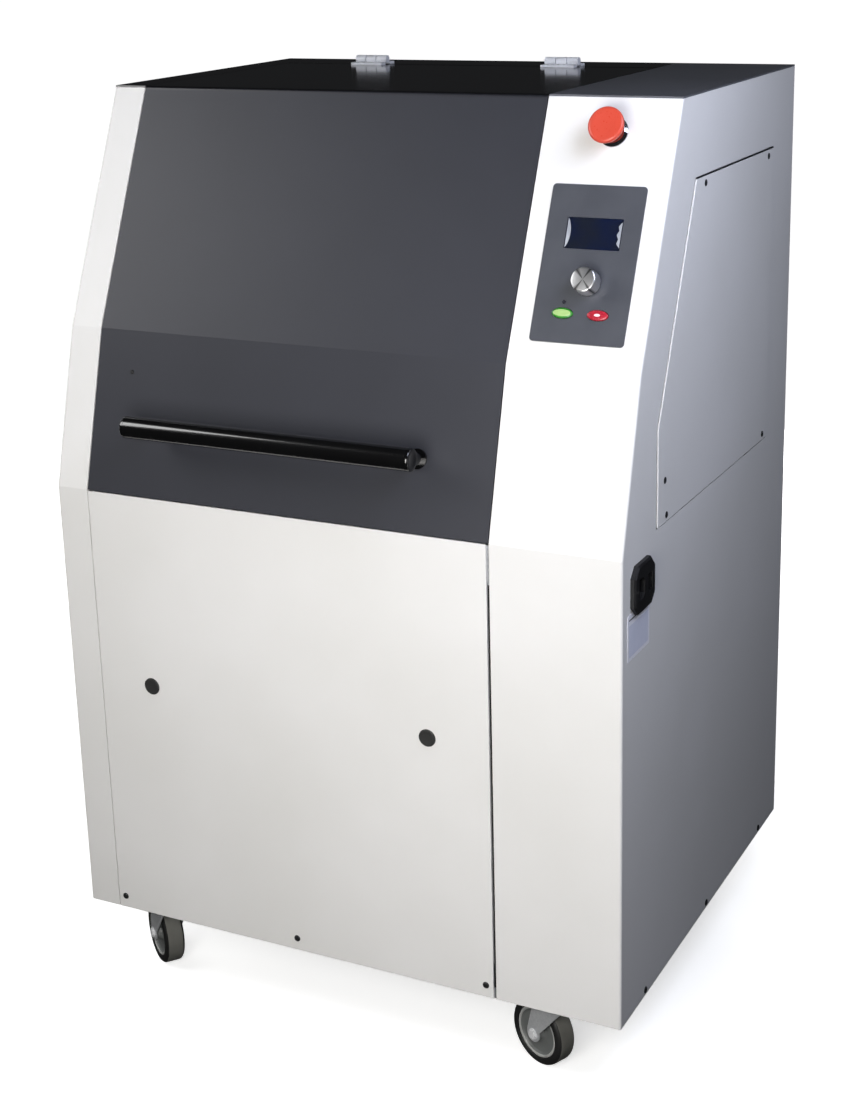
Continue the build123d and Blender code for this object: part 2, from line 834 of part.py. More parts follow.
def gas_springs():
    cylinders = []
    rods = []
    length = spring_length()
    eye = Rot(0, 90, 0) * Cylinder(spring_eye / 2, spring_eye_width)
    bore = Rot(0, 90, 0) * Cylinder(spring_stud / 2 + running, 2 * spring_eye_width)
    start = spring_eye / 2 + 3
    end = start + spring_tube_length
    for x in spring_x:
        tube = turned([
            (0, start), (spring_tube / 2, start), (spring_tube / 2, end), (spring_rod / 2 + running, end),
            (spring_rod / 2 + running, end - 10), (spring_bore / 2, end - 10), (spring_bore / 2, start + 8),
            (0, start + 8),
        ])
        tube += bar_z(spring_neck, 0, start + 2) + eye - bore
        cylinders.append(spring_frame(x) * tube)
        piston = start + 12
        rod = bar_z(spring_rod, piston, length)
        rod += bar_z(spring_bore - 2 * running, piston, piston + 12)
        top_eye = Pos(0, 0, length) * eye
        rod += top_eye
        rod -= Pos(0, 0, length) * bore
        rods.append(spring_frame(x) * rod)
    save("gas_spring_cylinders", *cylinders)
    save("gas_spring_rods", *rods)


# Liner of the grinding chamber, joined from sheets, with the studs of the gas springs
def chamber_liner():
    top, low, wall = height - chamber_top_drop, chamber_floor_z, chamber_wall
    x0, x1 = chamber_left_x, chamber_right_x
    front, rear = chamber_inset, chamber_rear_y
    inner = (x0 + wall, x1 - wall)
    within = (inner[0] + seam, inner[1] - seam)
    side = front_line(front, low, top) + [(rear, top), (rear, low)]
    sheets = [prism_x(side, x0, inner[0]), prism_x(side, inner[1], x1)]
    for limits in ((column_left_x, inner[0]), (inner[1], column_right_x)):
        sheets.append(front_strip(front - wall, front - seam, rail_top_z, top, *limits))
    sheets.append(block(*within, rear - wall, rear, low, top))
    sheets.append(block(x0, x1, rear + seam, rear_rail_y, top - wall, top))
    sheets.append(block(*within, front, front + wall, low, rail_top_z - 4 * sheet))
    deck = block(*within, front + wall + seam, rear - wall - seam, low, low + sheet)
    opening = platform_diameter + 2 * deck_clearance
    sheets.append(deck - bar_z(opening, low - 1, low + sheet + 1, centre_x, chamber_centre_y))
    save("chamber_liner", *sheets, *spring_studs(within))


def spring_studs(walls):
    y, z = hinge_y + spring_foot[0], hinge_z + spring_foot[1]
    studs = []
    for x, wall, side in zip(spring_x, walls, (1, -1)):
        tip = x + side * (spring_eye_width / 2 + 2)
        seat = x - side * (spring_eye_width / 2 + 0.5)
        stud = bar_x(spring_stud, *sorted((wall, tip)), y, z)
        studs.append(stud + bar_x(2 * spring_stud, *sorted((wall, seat)), y, z))
    return studs


# Frame of four square tubes under the ring plate that the buffers stand on
def carrier_frame():
    plate = Pos(centre_x, chamber_centre_y, carrier_top - carrier_thickness / 2) * Box(
        carrier_side, carrier_side, carrier_thickness
    )
    plate -= bar_z(carrier_hole, 0, height, centre_x, chamber_centre_y)
    tall = flange_top - tray_top - 2 * seam
    inside = carrier_leg - 2 * leg_wall
    leg = Box(carrier_leg, carrier_leg, tall) - Box(inside, inside, tall)
    reach = (carrier_side - carrier_leg) / 2
    legs = []
    for x in (centre_x - reach, centre_x + reach):
        for y in (chamber_centre_y - reach, chamber_centre_y + reach):
            legs.append(Pos(x, y, (flange_top + tray_top) / 2) * leg)
    save("carrier_frame", plate, *legs)


def around(radius, count, start=0.0):
    places = []
    for index in range(count):
        angle = math.radians(start + 360 * index / count)
        places.append((centre_x + radius * math.cos(angle), chamber_centre_y + radius * math.sin(angle)))
    return places


# Waisted rubber buffers with a steel plate at each end
def rubber_buffers():
    z0 = carrier_top + seat_gap
    z1 = chamber_floor_z - seat_gap
    edge = buffer_diameter / 2
    waist = buffer_waist / 2
    shape = turned([
        (0, z0), (edge, z0), (edge, z0 + buffer_plate), (edge - buffer_lip, z0 + buffer_plate),
        (waist, (z0 + z1) / 2 - buffer_groove), (waist, (z0 + z1) / 2 + buffer_groove),
        (edge - buffer_lip, z1 - buffer_plate), (edge, z1 - buffer_plate), (edge, z1), (0, z1),
    ])
    save("rubber_buffers", *[Pos(x, y, 0) * shape for x, y in around(buffer_circle, buffer_count, buffer_turn)])


# Round platform with pillars down to the motor, a centring rim and the two clamp posts
def vibrating_platform():
    z0, z1 = chamber_floor_z, platform_top
    platform = bar_z(platform_diameter, z0, z1, centre_x, chamber_centre_y)
    rim_inner = bowl_outer + 4 * slide_gap
    rim = bar_z(rim_inner + 2 * bowl_rim, z1, z1 + bowl_rim, centre_x, chamber_centre_y)
    platform += rim - bar_z(rim_inner, z1, z1 + bowl_rim + 1, centre_x, chamber_centre_y)
    for x, y in around(pillar_circle, 4, 45):
        platform += bar_z(pillar_diameter, flange_top, z0, x, y)
    half = clamp_post_width / 2
    cheek = yoke_width / 2 + slide_gap
    rear = chamber_centre_y + clamp_post_offset
    front = chamber_centre_y - clamp_post_offset
    top = clamp_pivot_z + half
    for side in (-1, 1):
        x0, x1 = sorted((centre_x + side * cheek, centre_x + side * (cheek + clamp_cheek)))
        platform += block(x0, x1, rear - half, rear + half, z1, clamp_pivot_z)
        platform += bar_x(clamp_post_width, x0, x1, rear, clamp_pivot_z)
        platform += block(x0, x1, front - half, front + half, z1, top)
    reach = cheek + clamp_cheek / 2
    platform += bar_x(clamp_pin, centre_x - reach, centre_x + reach, rear, clamp_pivot_z)
    bridge_z = clamp_pivot_z - yoke_height / 2 - 2 * clamp_cheek
    platform += block(centre_x - cheek, centre_x + cheek, rear - half, rear + half, z1, bridge_z)
    save("vibrating_platform", platform)


# Flange motor: finned barrel, bearing seats, terminal box and slotted fan cover
def motor_housing():
    z1 = flange_top - flange_thickness
    z0 = motor_bottom
    motor = bar_z(flange_diameter, z1, flange_top)
    motor += bar_z(motor_core, z0, z1)
    for index in range(fin_count):
        fin = block(
            motor_core / 2 - 2, motor_fins / 2, -fin_thickness / 2, fin_thickness / 2, z0 + fan_cover + 5, z1 - 20
        )
        motor += Rot(0, 0, 360 * index / fin_count) * fin
    box_wide, box_deep, box_tall = terminal_box
    box_z = (z0 + z1 - box_tall) / 2
    motor += block(
        -box_wide / 2, box_wide / 2, motor_core / 2 - motor_wall, motor_fins / 2 + box_deep, box_z, box_z + box_tall
    )
    motor += bar_z(motor_fins - 4, z0, z0 + fan_cover)
    motor -= bar_z(rotor_diameter + 2 * air_gap, z0 + motor_wall + bearing_width, z1 - bearing_width)
    motor -= bar_z(bearing_outer, z0 + motor_wall, z1)
    motor -= bar_z(shaft_diameter + 2 * air_gap, z1 - 1, flange_top + 1)
    motor -= bar_z(bearing_outer, z1 - 1, flange_top - motor_wall / 2)
    save("motor_housing", Pos(centre_x, chamber_centre_y, 0) * motor)


def bearing_levels():
    lower_level = motor_bottom + motor_wall
    upper_level = flange_top - motor_wall / 2 - bearing_width
    return (lower_level, upper_level)


def motor_bearings():
    rings = []
    for z in bearing_levels():
        ring = bar_z(bearing_outer, z, z + bearing_width)
        ring -= bar_z(shaft_diameter + 2 * running, z - 1, z + bearing_width + 1)
        rings.append(Pos(centre_x, chamber_centre_y, 0) * ring)
    save("motor_bearings", *rings)


# Shaft with its rotor; the top end carries the eccentric weight
def motor_shaft():
    top = flange_top + eccentric_rise + eccentric_height + 4
    shaft = bar_z(shaft_diameter, motor_bottom + motor_wall + 1, top)
    middle_z = (sum(bearing_levels()) + bearing_width) / 2
    shaft += bar_z(rotor_diameter, middle_z - rotor_length / 2, middle_z + rotor_length / 2)
    save("motor_shaft", Pos(centre_x, chamber_centre_y, 0) * shaft)


def eccentric_weight():
    z0 = flange_top + eccentric_rise
    z1 = z0 + eccentric_height
    weight = bar_z(2 * eccentric_radius, z0, z1)
    weight -= block(-eccentric_radius, 2, -2 * eccentric_radius, 2 * eccentric_radius, z0 - 1, z1 + 1)
    weight += bar_z(eccentric_hub, z0, z1)
    weight -= bar_z(shaft_diameter + 2 * running, z0 - 1, z1 + 1)
    save("eccentric_weight", Pos(centre_x, chamber_centre_y, 0) * weight)


# Grinding set: bowl, ring, puck and lid, turned from solid
def grinding_set():
    centre = Pos(centre_x, chamber_centre_y, 0)
    outer, inner = bowl_outer / 2, bowl_inner / 2
    floor_z = bowl_z + bowl_floor
    bowl = turned([
        (0, bowl_z), (outer - 3, bowl_z), (outer, bowl_z + 3), (outer, bowl_top), (inner, bowl_top),
        (inner, floor_z), (0, floor_z),
    ])
    save("grinding_bowl", centre * bowl)
    rest = floor_z + slide_gap
    ring = bar_z(ring_outer, rest, rest + ring_height) - bar_z(ring_inner, rest - 1, rest + ring_height + 1)
    save("grinding_ring", centre * chamfer(ring.edges(), 1.5))
    puck = bar_z(puck_diameter, rest, rest + puck_height)
    save("grinding_puck", centre * chamfer(puck.edges(), 1.5))
    disc_z = bowl_top + slide_gap
    spigot = inner - 0.5
    lid = turned([
        (0, disc_z - lid_spigot), (spigot, disc_z - lid_spigot), (spigot, disc_z), (outer, disc_z),
        (outer, disc_z + lid_disc_height - 3), (outer - 3, disc_z + lid_disc_height), (24, disc_z + lid_disc_height),
        (20, disc_z + lid_disc_height - 2), (0, disc_z + lid_disc_height - 2),
    ])
    save("bowl_lid", centre * lid)


# The clamp is modelled closed and then swung open to its rest
def clamp_open(shape):
    pivot_y = chamber_centre_y + clamp_post_offset
    swing = Axis((centre_x, pivot_y, clamp_pivot_z), (1, 0, 0))
    return shape.rotate(swing, -(90 + clamp_rest_lean))


def clamp_arm_limits():
    rear = chamber_centre_y + clamp_post_offset
    front = chamber_centre_y - clamp_post_offset
    return (front - clamp_post_width / 2, rear)


def clamp_yoke():
    front, rear = clamp_arm_limits()
    half = yoke_height / 2
    z = clamp_pivot_z
    arm = block(centre_x - yoke_width / 2, centre_x + yoke_width / 2, front, rear, z - half, z + half)
    arm += bar_x(yoke_height, centre_x - yoke_width / 2, centre_x + yoke_width / 2, rear, z)
    arm += bar_z(2 * yoke_width - 10, z - half, z + half, centre_x, chamber_centre_y)
    arm -= bar_x(clamp_pin + 2 * running, centre_x - yoke_width, centre_x + yoke_width, rear, z)
    arm -= bar_z(spindle_diameter + 2 * running, z - yoke_height, z + yoke_height, centre_x, chamber_centre_y)
    save("clamp_yoke", clamp_open(arm))


def clamp_spindle():
    pad_z = spindle_pad_z
    knob_z = knob_base_z()
    spindle = bar_z(spindle_diameter, pad_z, knob_z + knob_height - 4, centre_x, chamber_centre_y)
    spindle += bar_z(spindle_pad, pad_z, pad_z + spindle_pad_height, centre_x, chamber_centre_y)
    save("clamp_spindle", clamp_open(spindle))


def knob_base_z():
    return clamp_pivot_z + yoke_height / 2 + spindle_travel + 2


# Star knob with scallops around its rim
def clamp_knob():
    z0 = knob_base_z()
    knob = bar_z(knob_diameter, z0, z0 + knob_height)
    for index in range(knob_lobes):
        angle = math.radians(360 * index / knob_lobes)
        reach = knob_diameter / 2 + knob_scallop / 4
        spot = (reach * math.cos(angle), reach * math.sin(angle))
        knob -= bar_z(knob_scallop, z0 - 1, z0 + knob_height + 1, *spot)
    knob -= bar_z(spindle_diameter + 2 * running, z0 - 1, z0 + knob_height - 3.5)
    save("clamp_knob", clamp_open(Pos(centre_x, chamber_centre_y, 0) * knob))


# Front plate of the controls with its window and holes
def control_fascia():
    plate = Pos(*fascia_at, 0) * extrude(RectangleRounded(*fascia_size, fascia_radius), amount=fascia_thickness)
    plate = upper.location * plate
    for cut in control_openings():
        plate -= cut
    save("control_fascia", plate)


# Display and encoder board, on four posts under the sheet
def display_module():
    wide, tall, thick = board_size
    x, y = fascia_at
    board = Pos(x, y, -board_drop - thick / 2) * Box(wide, tall, thick)
    for across in (-1, 1):
        for along in (-1, 1):
            spot = (x + across * (wide / 2 - board_post), y + along * (tall / 2 - board_post))
            board += bar_z(board_post, -board_drop, -sheet, *spot)
    board -= Pos(*encoder_at, 0) * Cylinder(encoder_shaft_diameter / 2 + running, 4 * thick)
    face = fascia_thickness - glass_recess
    glass = Pos(*display_at, (face - board_drop) / 2) * Box(*display_size, face + board_drop)
    save("display_module", upper.location * board, upper.location * glass)


def status_light():
    lens = Pos(*light_at, -board_drop) * turned([
        (0, 0), (light_diameter / 2, 0), (light_diameter / 2, board_drop + 1.4),
        (light_diameter / 3, board_drop + 2), (0, board_drop + 2.2),
    ])
    save("status_light", upper.location * lens)


def encoder():
    top = fascia_thickness + dial_height - 1
    bottom = -board_drop - board_size[2] + 2
    shaft = Pos(*encoder_at, (top + bottom) / 2) * Cylinder(encoder_shaft_diameter / 2, top - bottom)
    save("encoder_shaft", upper.location * shaft)
    base = fascia_thickness + encoder_push + 0.5
    crown = dial_diameter / 2
    dial = turned([
        (0, base), (crown, base), (crown - 0.6, base + dial_height - 2), (crown - 2, base + dial_height),
        (crown - 4, base + dial_height), (crown - 5, base + dial_height - 0.8), (0, base + dial_height - 0.8),
    ])
    dial -= bar_z(encoder_shaft_diameter + 2 * running, base - 1, top + encoder_push + 0.5)
    save("encoder_knob", upper.location * Pos(*encoder_at, 0) * dial)


# Both buttons are domed ovals that travel in the fascia
def button(name, place):
    bottom = -board_drop + button_travel + slide_gap
    cap = Pos(0, 0, bottom) * oval(0, fascia_thickness + button_rise - bottom)
    rim = [edge for edge in cap.edges() if edge.center().Z > button_rise]
    cap = chamfer(rim, 0.8)
    save(name, upper.location * Pos(*place, 0) * cap)


def emergency_stop():
    deep = estop_deep
    barrel, nut, contacts = estop_barrel / 2, estop_nut / 2, estop_block / 2
    nut_z = -sheet - estop_nut_height
    collar = turned([
        (0, -deep - estop_block_height), (contacts, -deep - estop_block_height), (contacts, -deep),
        (barrel, -deep), (barrel, nut_z), (nut, nut_z), (nut, -sheet), (barrel, -sheet), (barrel, 0),
        (estop_collar / 2, 0), (estop_collar / 2, 2), (estop_collar / 2 - 3, estop_collar_height),
        (0, estop_collar_height),
    ])
    collar -= bar_z(estop_stem + 2 * running, -deep, estop_collar_height + 1)
    save("estop_collar", upper.location * Pos(*estop_at, 0) * collar)
    head_z = estop_rise - estop_cap
    stem = bar_z(estop_stem, -deep + estop_travel + 1, head_z - 1.2) + bar_z(estop_neck, 0, estop_rise - 4)
    save("estop_stem", upper.location * Pos(*estop_at, 0) * stem)
    rim = estop_head / 2
    head = turned([
        (0, head_z - 1), (rim - 5, head_z - 1), (rim, head_z + 3), (rim, estop_rise - 5), (rim - 1.5, estop_rise - 2),
        (rim - 5, estop_rise), (0, estop_rise),
    ])
    head -= bar_z(estop_neck + 2 * running, head_z - 2, estop_rise - 3.5)
    save("estop_head", upper.location * Pos(*estop_at, 0) * head)


# Mains unit: an eight-sided frame with an inlet, its three pins and a rocker switch, its body behind the sheet
def eight_sided(wide, tall, cut):
    return [
        (-wide / 2 + cut, -tall / 2), (wide / 2 - cut, -tall / 2), (wide / 2, -tall / 2 + cut),
        (wide / 2, tall / 2 - cut), (wide / 2 - cut, tall / 2), (-wide / 2 + cut, tall / 2),
        (-wide / 2, tall / 2 - cut), (-wide / 2, -tall / 2 + cut),
    ]


def mains_place():
    y, z = mains_centre
    return Plane(origin=(right, y, z), x_dir=(0, 1, 0), z_dir=(1, 0, 0)).location


def mains_unit():
    frame = prism_z(eight_sided(*mains_size, mains_corner), 0, mains_proud)
    frame = chamfer(frame.faces().sort_by(Axis.Z)[-1].edges(), 2)
    wide, tall, deep = mains_body
    frame += Pos(0, 0, -deep / 2) * Box(wide, tall, deep)
    slot = (rocker_size[0] + 2 * slide_gap, rocker_size[1] + 2 * slide_gap)
    frame -= Pos(rocker_offset, 0, 0) * Box(*slot, 2 * (mains_proud + rocker_deep + 4))
    wide, tall = inlet_size
    recess = [
        (-wide / 2, -tall / 2), (wide / 2 - inlet_corner, -tall / 2), (wide / 2, -tall / 2 + inlet_corner),
        (wide / 2, tall / 2 - inlet_corner), (wide / 2 - inlet_corner, tall / 2), (-wide / 2, tall / 2),
    ]
    floor = mains_proud - inlet_depth
    frame -= Pos(-inlet_offset, 0, 0) * prism_z(recess, floor, mains_proud + 1)
    for across, along in ((-1, -1), (-1, 1), (1, 0)):
        spot = (-inlet_offset - inlet_pin_side / 2 * across, inlet_pin_spread * along)
        frame += Pos(*spot, floor + inlet_depth / 3) * Box(inlet_pin[1], inlet_pin[0], 2 * inlet_depth / 3)
    save("mains_unit", mains_place() * frame)
    half = rocker_size[1] / 2
    rise = half * math.tan(math.radians(rocker_swing))
    top = mains_proud + 1.0
    rocker = [
        (-half, -rocker_deep), (half, -rocker_deep), (half, top - rise), (0, top - 2 * rise), (-half, top - rise),
    ]
    face = Face(Wire.make_polygon([(0, y, z) for y, z in rocker], close=True))
    solid = extrude(face, amount=rocker_size[0], dir=(1, 0, 0))
    solid = Pos(rocker_offset - rocker_size[0] / 2, 0, 0) * solid
    round_off = Pos(rocker_offset, 0, 0) * Rot(0, 90, 0) * Cylinder(half, rocker_size[0])
    save("power_rocker", mains_place() * (solid & round_off))


def frequency_inverter():
    wide, long, tall = inverter_size
    y, z = inverter_centre
    x0 = column_right_x + sheet + inverter_standoff
    case = block(x0, x0 + wide, y - long / 2, y + long / 2, z - tall / 2, z + tall / 2)
    pitch = long / inverter_fins
    half = inverter_fin_gap / 2
    for index in range(inverter_fins):
        fin_y = y - long / 2 + (index + 0.5) * pitch
        case -= block(
            x0 - 1, x0 + inverter_fin_depth, fin_y - half, fin_y + half, z - tall / 2 + pitch, z + tall / 2 - pitch
        )
    foot, foot_inset = inverter_foot
    for foot_y in (y - long / 2 + foot_inset, y + long / 2 - foot_inset):
        for foot_z in (z - tall / 2 + foot_inset, z + tall / 2 - foot_inset):
            case += bar_x(foot, x0 - inverter_standoff, x0 + 1, foot_y, foot_z)
    save("frequency_inverter", case)


# It sits on the front rail
def lid_interlock():
    x1 = column_right_x - interlock_inset
    y1, z1 = chamber_inset - sheet, rail_top_z - sheet
    save("lid_interlock", block(x1 - interlock_length, x1, 2 * sheet, y1, rail_low_z + sheet, z1))


# Castor parts in their own frame: kingpin on the z axis, trail along +x
def castor_plate_solid():
    side, thick = castor_plate
    z1 = tray_z
    z0 = z1 - thick
    plate = Pos(0, 0, (z0 + z1) / 2) * Box(side, side, thick)
    race = race_diameter / 2
    seat = crown_z + slide_gap
    plate += turned([(0, z0), (race, z0), (race, z0 - race_lip), (race - race_taper, seat), (0, seat)])
    under = crown_z - crown_thickness - slide_gap
    nut, nut_height = kingpin_nut
    plate += bar_z(kingpin_diameter, under - nut_height, z0) + bar_z(nut, under - nut_height, under)
    return plate


def fork_solid():
    z1 = crown_z
    z0 = z1 - crown_thickness
    fork = bar_z(race_diameter + race_taper, z0, z1)
    eye = fork_eye / 2
    outline = [
        (-fork_crown[0], z1), (fork_crown[1], z1), (castor_trail + eye, wheel_z), (castor_trail - eye, wheel_z),
    ]
    inner = fork_gap / 2
    head, head_height = axle_head
    for side in (-1, 1):
        y0, y1 = sorted((side * inner, side * (inner + fork_sheet)))
        face = Face(Wire.make_polygon([(x, y0, z) for x, z in outline], close=True))
        fork += extrude(face, amount=y1 - y0, dir=(0, 1, 0))
        fork += bar_y(fork_eye, y0, y1, castor_trail, wheel_z)
        cap0, cap1 = sorted((side * (inner + fork_sheet), side * (inner + fork_sheet + head_height)))
        fork += bar_y(head, cap0, cap1, castor_trail, wheel_z)
    fork += bar_y(axle_diameter, -inner - 1, inner + 1, castor_trail, wheel_z)
    fork -= bar_z(kingpin_diameter + 2 * running, z0 - 1, z1 + 1)
    fork -= bar_y(brake_pin + 2 * running, -2 * inner, 2 * inner, *brake_pivot())
    return fork


def brake_pivot():
    return (brake_reach[0], crown_z - crown_thickness - brake_pin / 2 - 2 * slide_gap)


# The wheel is a hub with a web between two rims, and a rubber tyre shrunk on it
def wheel_solids():
    bore = axle_diameter / 2 + running
    rim = hub_diameter / 2
    half = wheel_width / 2
    reach = fork_gap / 2 - slide_gap
    boss, web = hub_boss / 2, hub_web / 2
    edge = half - hub_edge
    inner = rim - tyre_round
    side = [
        (bore, reach), (boss, reach), (boss + 2 * hub_step, web), (inner, web), (inner + hub_step, edge), (rim, edge),
    ]
    hub = turned([(r, -y) for r, y in side] + side[::-1])
    outer = wheel_diameter / 2
    side = [(rim, half), (outer - tyre_round, half)]
    side += [(outer - tyre_crown, half - tyre_shoulder[0]), (outer, half - tyre_shoulder[1])]
    tyre = turned([(r, -y) for r, y in side] + side[::-1])
    axle = Pos(castor_trail, 0, wheel_z) * Rot(90, 0, 0)
    return axle * hub, axle * tyre


def brake_solid():
    x, z = brake_pivot()
    half = brake_width / 2
    pin_half = fork_gap / 2 + fork_sheet
    pedal = bar_y(brake_pin, -pin_half, pin_half, x, z)
    top = z + brake_thickness / 2
    knee, toe = brake_reach[1:]
    outline = [(x, top), (knee, top - brake_fall[0]), (toe, top - brake_fall[1])]
    outline += [(toe + 4, outline[2][1] - brake_thickness), (knee, outline[1][1] - brake_thickness)]
    outline.append((x, top - brake_thickness))
    face = Face(Wire.make_polygon([(px, -half, pz) for px, pz in outline], close=True))
    return pedal + extrude(face, amount=brake_width, dir=(0, 1, 0))


def castors():
    plates = []
    for name, (x, y) in castor_places.items():
        place = Pos(x, y, 0)
        turn = place * Rot(0, 0, castor_turns[name])
        plates.append(place * castor_plate_solid())
        save(f"castor_fork_{name}", turn * fork_solid())
        hub, tyre = wheel_solids()
        save(f"castor_wheel_{name}", turn * hub, turn * tyre)
        if name.startswith("front"):
            save(f"castor_brake_{name}", turn * brake_solid())
    save("castor_plates", *plates)


def main():
    left_housing()
    right_housing()
    rear_rail()
    top_cover()
    rear_panel()
    front_panel()
    hole_plugs()
    access_panel()
    panel_screws()
    base_tray()
    front_rail()
    lid_shell()
    lid_insulation()
    handle()
    hinges()
    gas_springs()
    chamber_liner()
    carrier_frame()
    rubber_buffers()
    vibrating_platform()
    motor_housing()
    motor_bearings()
    motor_shaft()
    eccentric_weight()
    grinding_set()
    clamp_yoke()
    clamp_spindle()
    clamp_knob()
    control_fascia()
    display_module()
    status_light()
    encoder()
    button("start_button", start_at)
    button("stop_button", stop_at)
    emergency_stop()
    mains_unit()
    frequency_inverter()
    lid_interlock()
    castors()


if __name__ == "__main__":
    main()
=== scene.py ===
import json
import math
import bpy
from mathutils import Matrix, Vector


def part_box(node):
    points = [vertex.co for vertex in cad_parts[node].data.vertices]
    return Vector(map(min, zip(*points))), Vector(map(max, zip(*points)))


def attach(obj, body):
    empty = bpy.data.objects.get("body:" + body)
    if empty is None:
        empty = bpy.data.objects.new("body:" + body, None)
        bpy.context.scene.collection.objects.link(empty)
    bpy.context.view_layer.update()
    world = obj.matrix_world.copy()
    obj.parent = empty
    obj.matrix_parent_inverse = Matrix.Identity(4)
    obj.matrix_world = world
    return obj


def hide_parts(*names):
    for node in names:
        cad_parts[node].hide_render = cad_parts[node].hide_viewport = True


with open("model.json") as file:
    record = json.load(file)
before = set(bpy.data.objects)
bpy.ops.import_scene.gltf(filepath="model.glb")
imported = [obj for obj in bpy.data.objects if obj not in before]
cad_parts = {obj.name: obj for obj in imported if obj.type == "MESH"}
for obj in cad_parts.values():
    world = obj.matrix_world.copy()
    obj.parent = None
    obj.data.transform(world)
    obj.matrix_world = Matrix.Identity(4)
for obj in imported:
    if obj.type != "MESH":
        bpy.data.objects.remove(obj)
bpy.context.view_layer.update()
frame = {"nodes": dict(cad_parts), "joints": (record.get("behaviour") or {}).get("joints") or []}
nodes = frame["nodes"]
joints = {joint["name"]: joint for joint in frame["joints"]}
print("stage: frame loaded,", len(nodes), "nodes")

# The cabinet's own corner frame: x from its middle, y from its front sheet, z from its lower edge, in mm
rearLow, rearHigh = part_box("rear_panel")
panelLow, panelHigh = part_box("front_panel")
cabinetOrigin = Vector(((rearLow.x + rearHigh.x) / 2, panelLow.y, panelLow.z))


def at(x, y, z):
    return cabinetOrigin + Vector((x, y, z)) / 1000


# Photographer's view: angles in degrees, distances in mm from the cabinet's own frame
view = {
    "azimuth": 27.02, "elevation": 16.22, "roll": -1.53, "distance": 2363.2,
    "target": (-43.4, 350.0, 507.5), "lens": 61.58, "shiftX": -0.0011, "shiftY": -0.0836,
}


def makeCamera():
    turn, tilt, roll = (math.radians(view[key]) for key in ("azimuth", "elevation", "roll"))
    back = Vector((math.sin(turn) * math.cos(tilt), -math.cos(turn) * math.cos(tilt), math.sin(tilt)))
    side = (-back).cross(Vector((0, 0, 1))).normalized()
    up = side.cross(-back)
    sideRolled = math.cos(roll) * side + math.sin(roll) * up
    upRolled = -math.sin(roll) * side + math.cos(roll) * up
    data = bpy.data.cameras.new("productCamera")
    data.lens = view["lens"]
    data.shift_x = view["shiftX"]
    data.shift_y = view["shiftY"]
    camera = bpy.data.objects.new("productCamera", data)
    bpy.context.scene.collection.objects.link(camera)
    place = Matrix((sideRolled, upRolled, back)).transposed().to_4x4()
    place.translation = at(*view["target"]) + back * view["distance"] / 1000
    camera.matrix_world = place
    bpy.context.scene.camera = camera


makeCamera()
bpy.context.scene.view_settings.view_transform = "Standard"
print("stage: camera set")


# Colours are written as sRGB hex and turned to linear here
def linear(hexText, alpha=1.0):
    values = []
    for index in (0, 2, 4):
        part = int(hexText[index:index + 2], 16) / 255
        values.append(part / 12.92 if part <= 0.04045 else ((part + 0.055) / 1.055) ** 2.4)
    return (*values, alpha)


# Adds one node; a socket given as an input is linked, anything else is set as its value
def add(tree, kind, inputs=None, **settings):
    node = tree.nodes.new(kind)
    for key, value in settings.items():
        setattr(node, key, value)
    for key, value in (inputs or {}).items():
        if isinstance(value, bpy.types.NodeSocket):
            tree.links.new(value, node.inputs[key])
        else:
            node.inputs[key].default_value = value
    return node


def startMaterial(name):
    material = bpy.data.materials.new(name)
    material.use_nodes = True
    tree = material.node_tree
    tree.nodes.clear()
    return material, tree


def endMaterial(tree, inputs):
    shader = add(tree, "ShaderNodeBsdfPrincipled", inputs)
    add(tree, "ShaderNodeOutputMaterial", {"Surface": shader.outputs["BSDF"]})


def ramp(tree, source, stops):
    node = add(tree, "ShaderNodeValToRGB", {"Fac": source})
    elements = node.color_ramp.elements
    while len(elements) < len(stops):
        elements.new(0.5)
    for element, (position, colour) in zip(elements, stops):
        element.position = position
        element.color = colour
    return node.outputs["Color"]


def grey(value):
    return (value, value, value, 1.0)


# Scale of a noise whose features are about this many millimetres
def perMetre(millimetres):
    return 1000.0 / millimetres


# Polyester powder coat, sprayed and baked: a slight orange peel breaks up the satin reflections
def powderCoat(name, light, dark, peel, roughness, height=0.00004, specular=0.5):
    material, tree = startMaterial(name)
    place = add(tree, "ShaderNodeTexCoord").outputs["Object"]
    cloud = add(tree, "ShaderNodeTexNoise", {"Vector": place, "Scale": perMetre(260), "Detail": 3.0})
    skin = add(tree, "ShaderNodeTexNoise", {"Vector": place, "Scale": perMetre(peel), "Detail": 2.0})
    colour = ramp(tree, cloud.outputs["Fac"], [(0.35, linear(dark)), (0.65, linear(light))])
    gloss = ramp(tree, skin.outputs["Fac"], [(0.3, grey(roughness - 0.05)), (0.7, grey(roughness + 0.05))])
    edge = add(tree, "ShaderNodeBevel", {"Radius": 0.0008}, samples=4)
    bump = add(tree, "ShaderNodeBump", {
        "Strength": 0.35, "Distance": height, "Height": skin.outputs["Fac"], "Normal": edge.outputs["Normal"],
    })
    endMaterial(tree, {
        "Base Color": colour, "Roughness": gloss, "Normal": bump.outputs["Normal"], "IOR": 1.5,
        "Specular IOR Level": specular,
    })
    return material


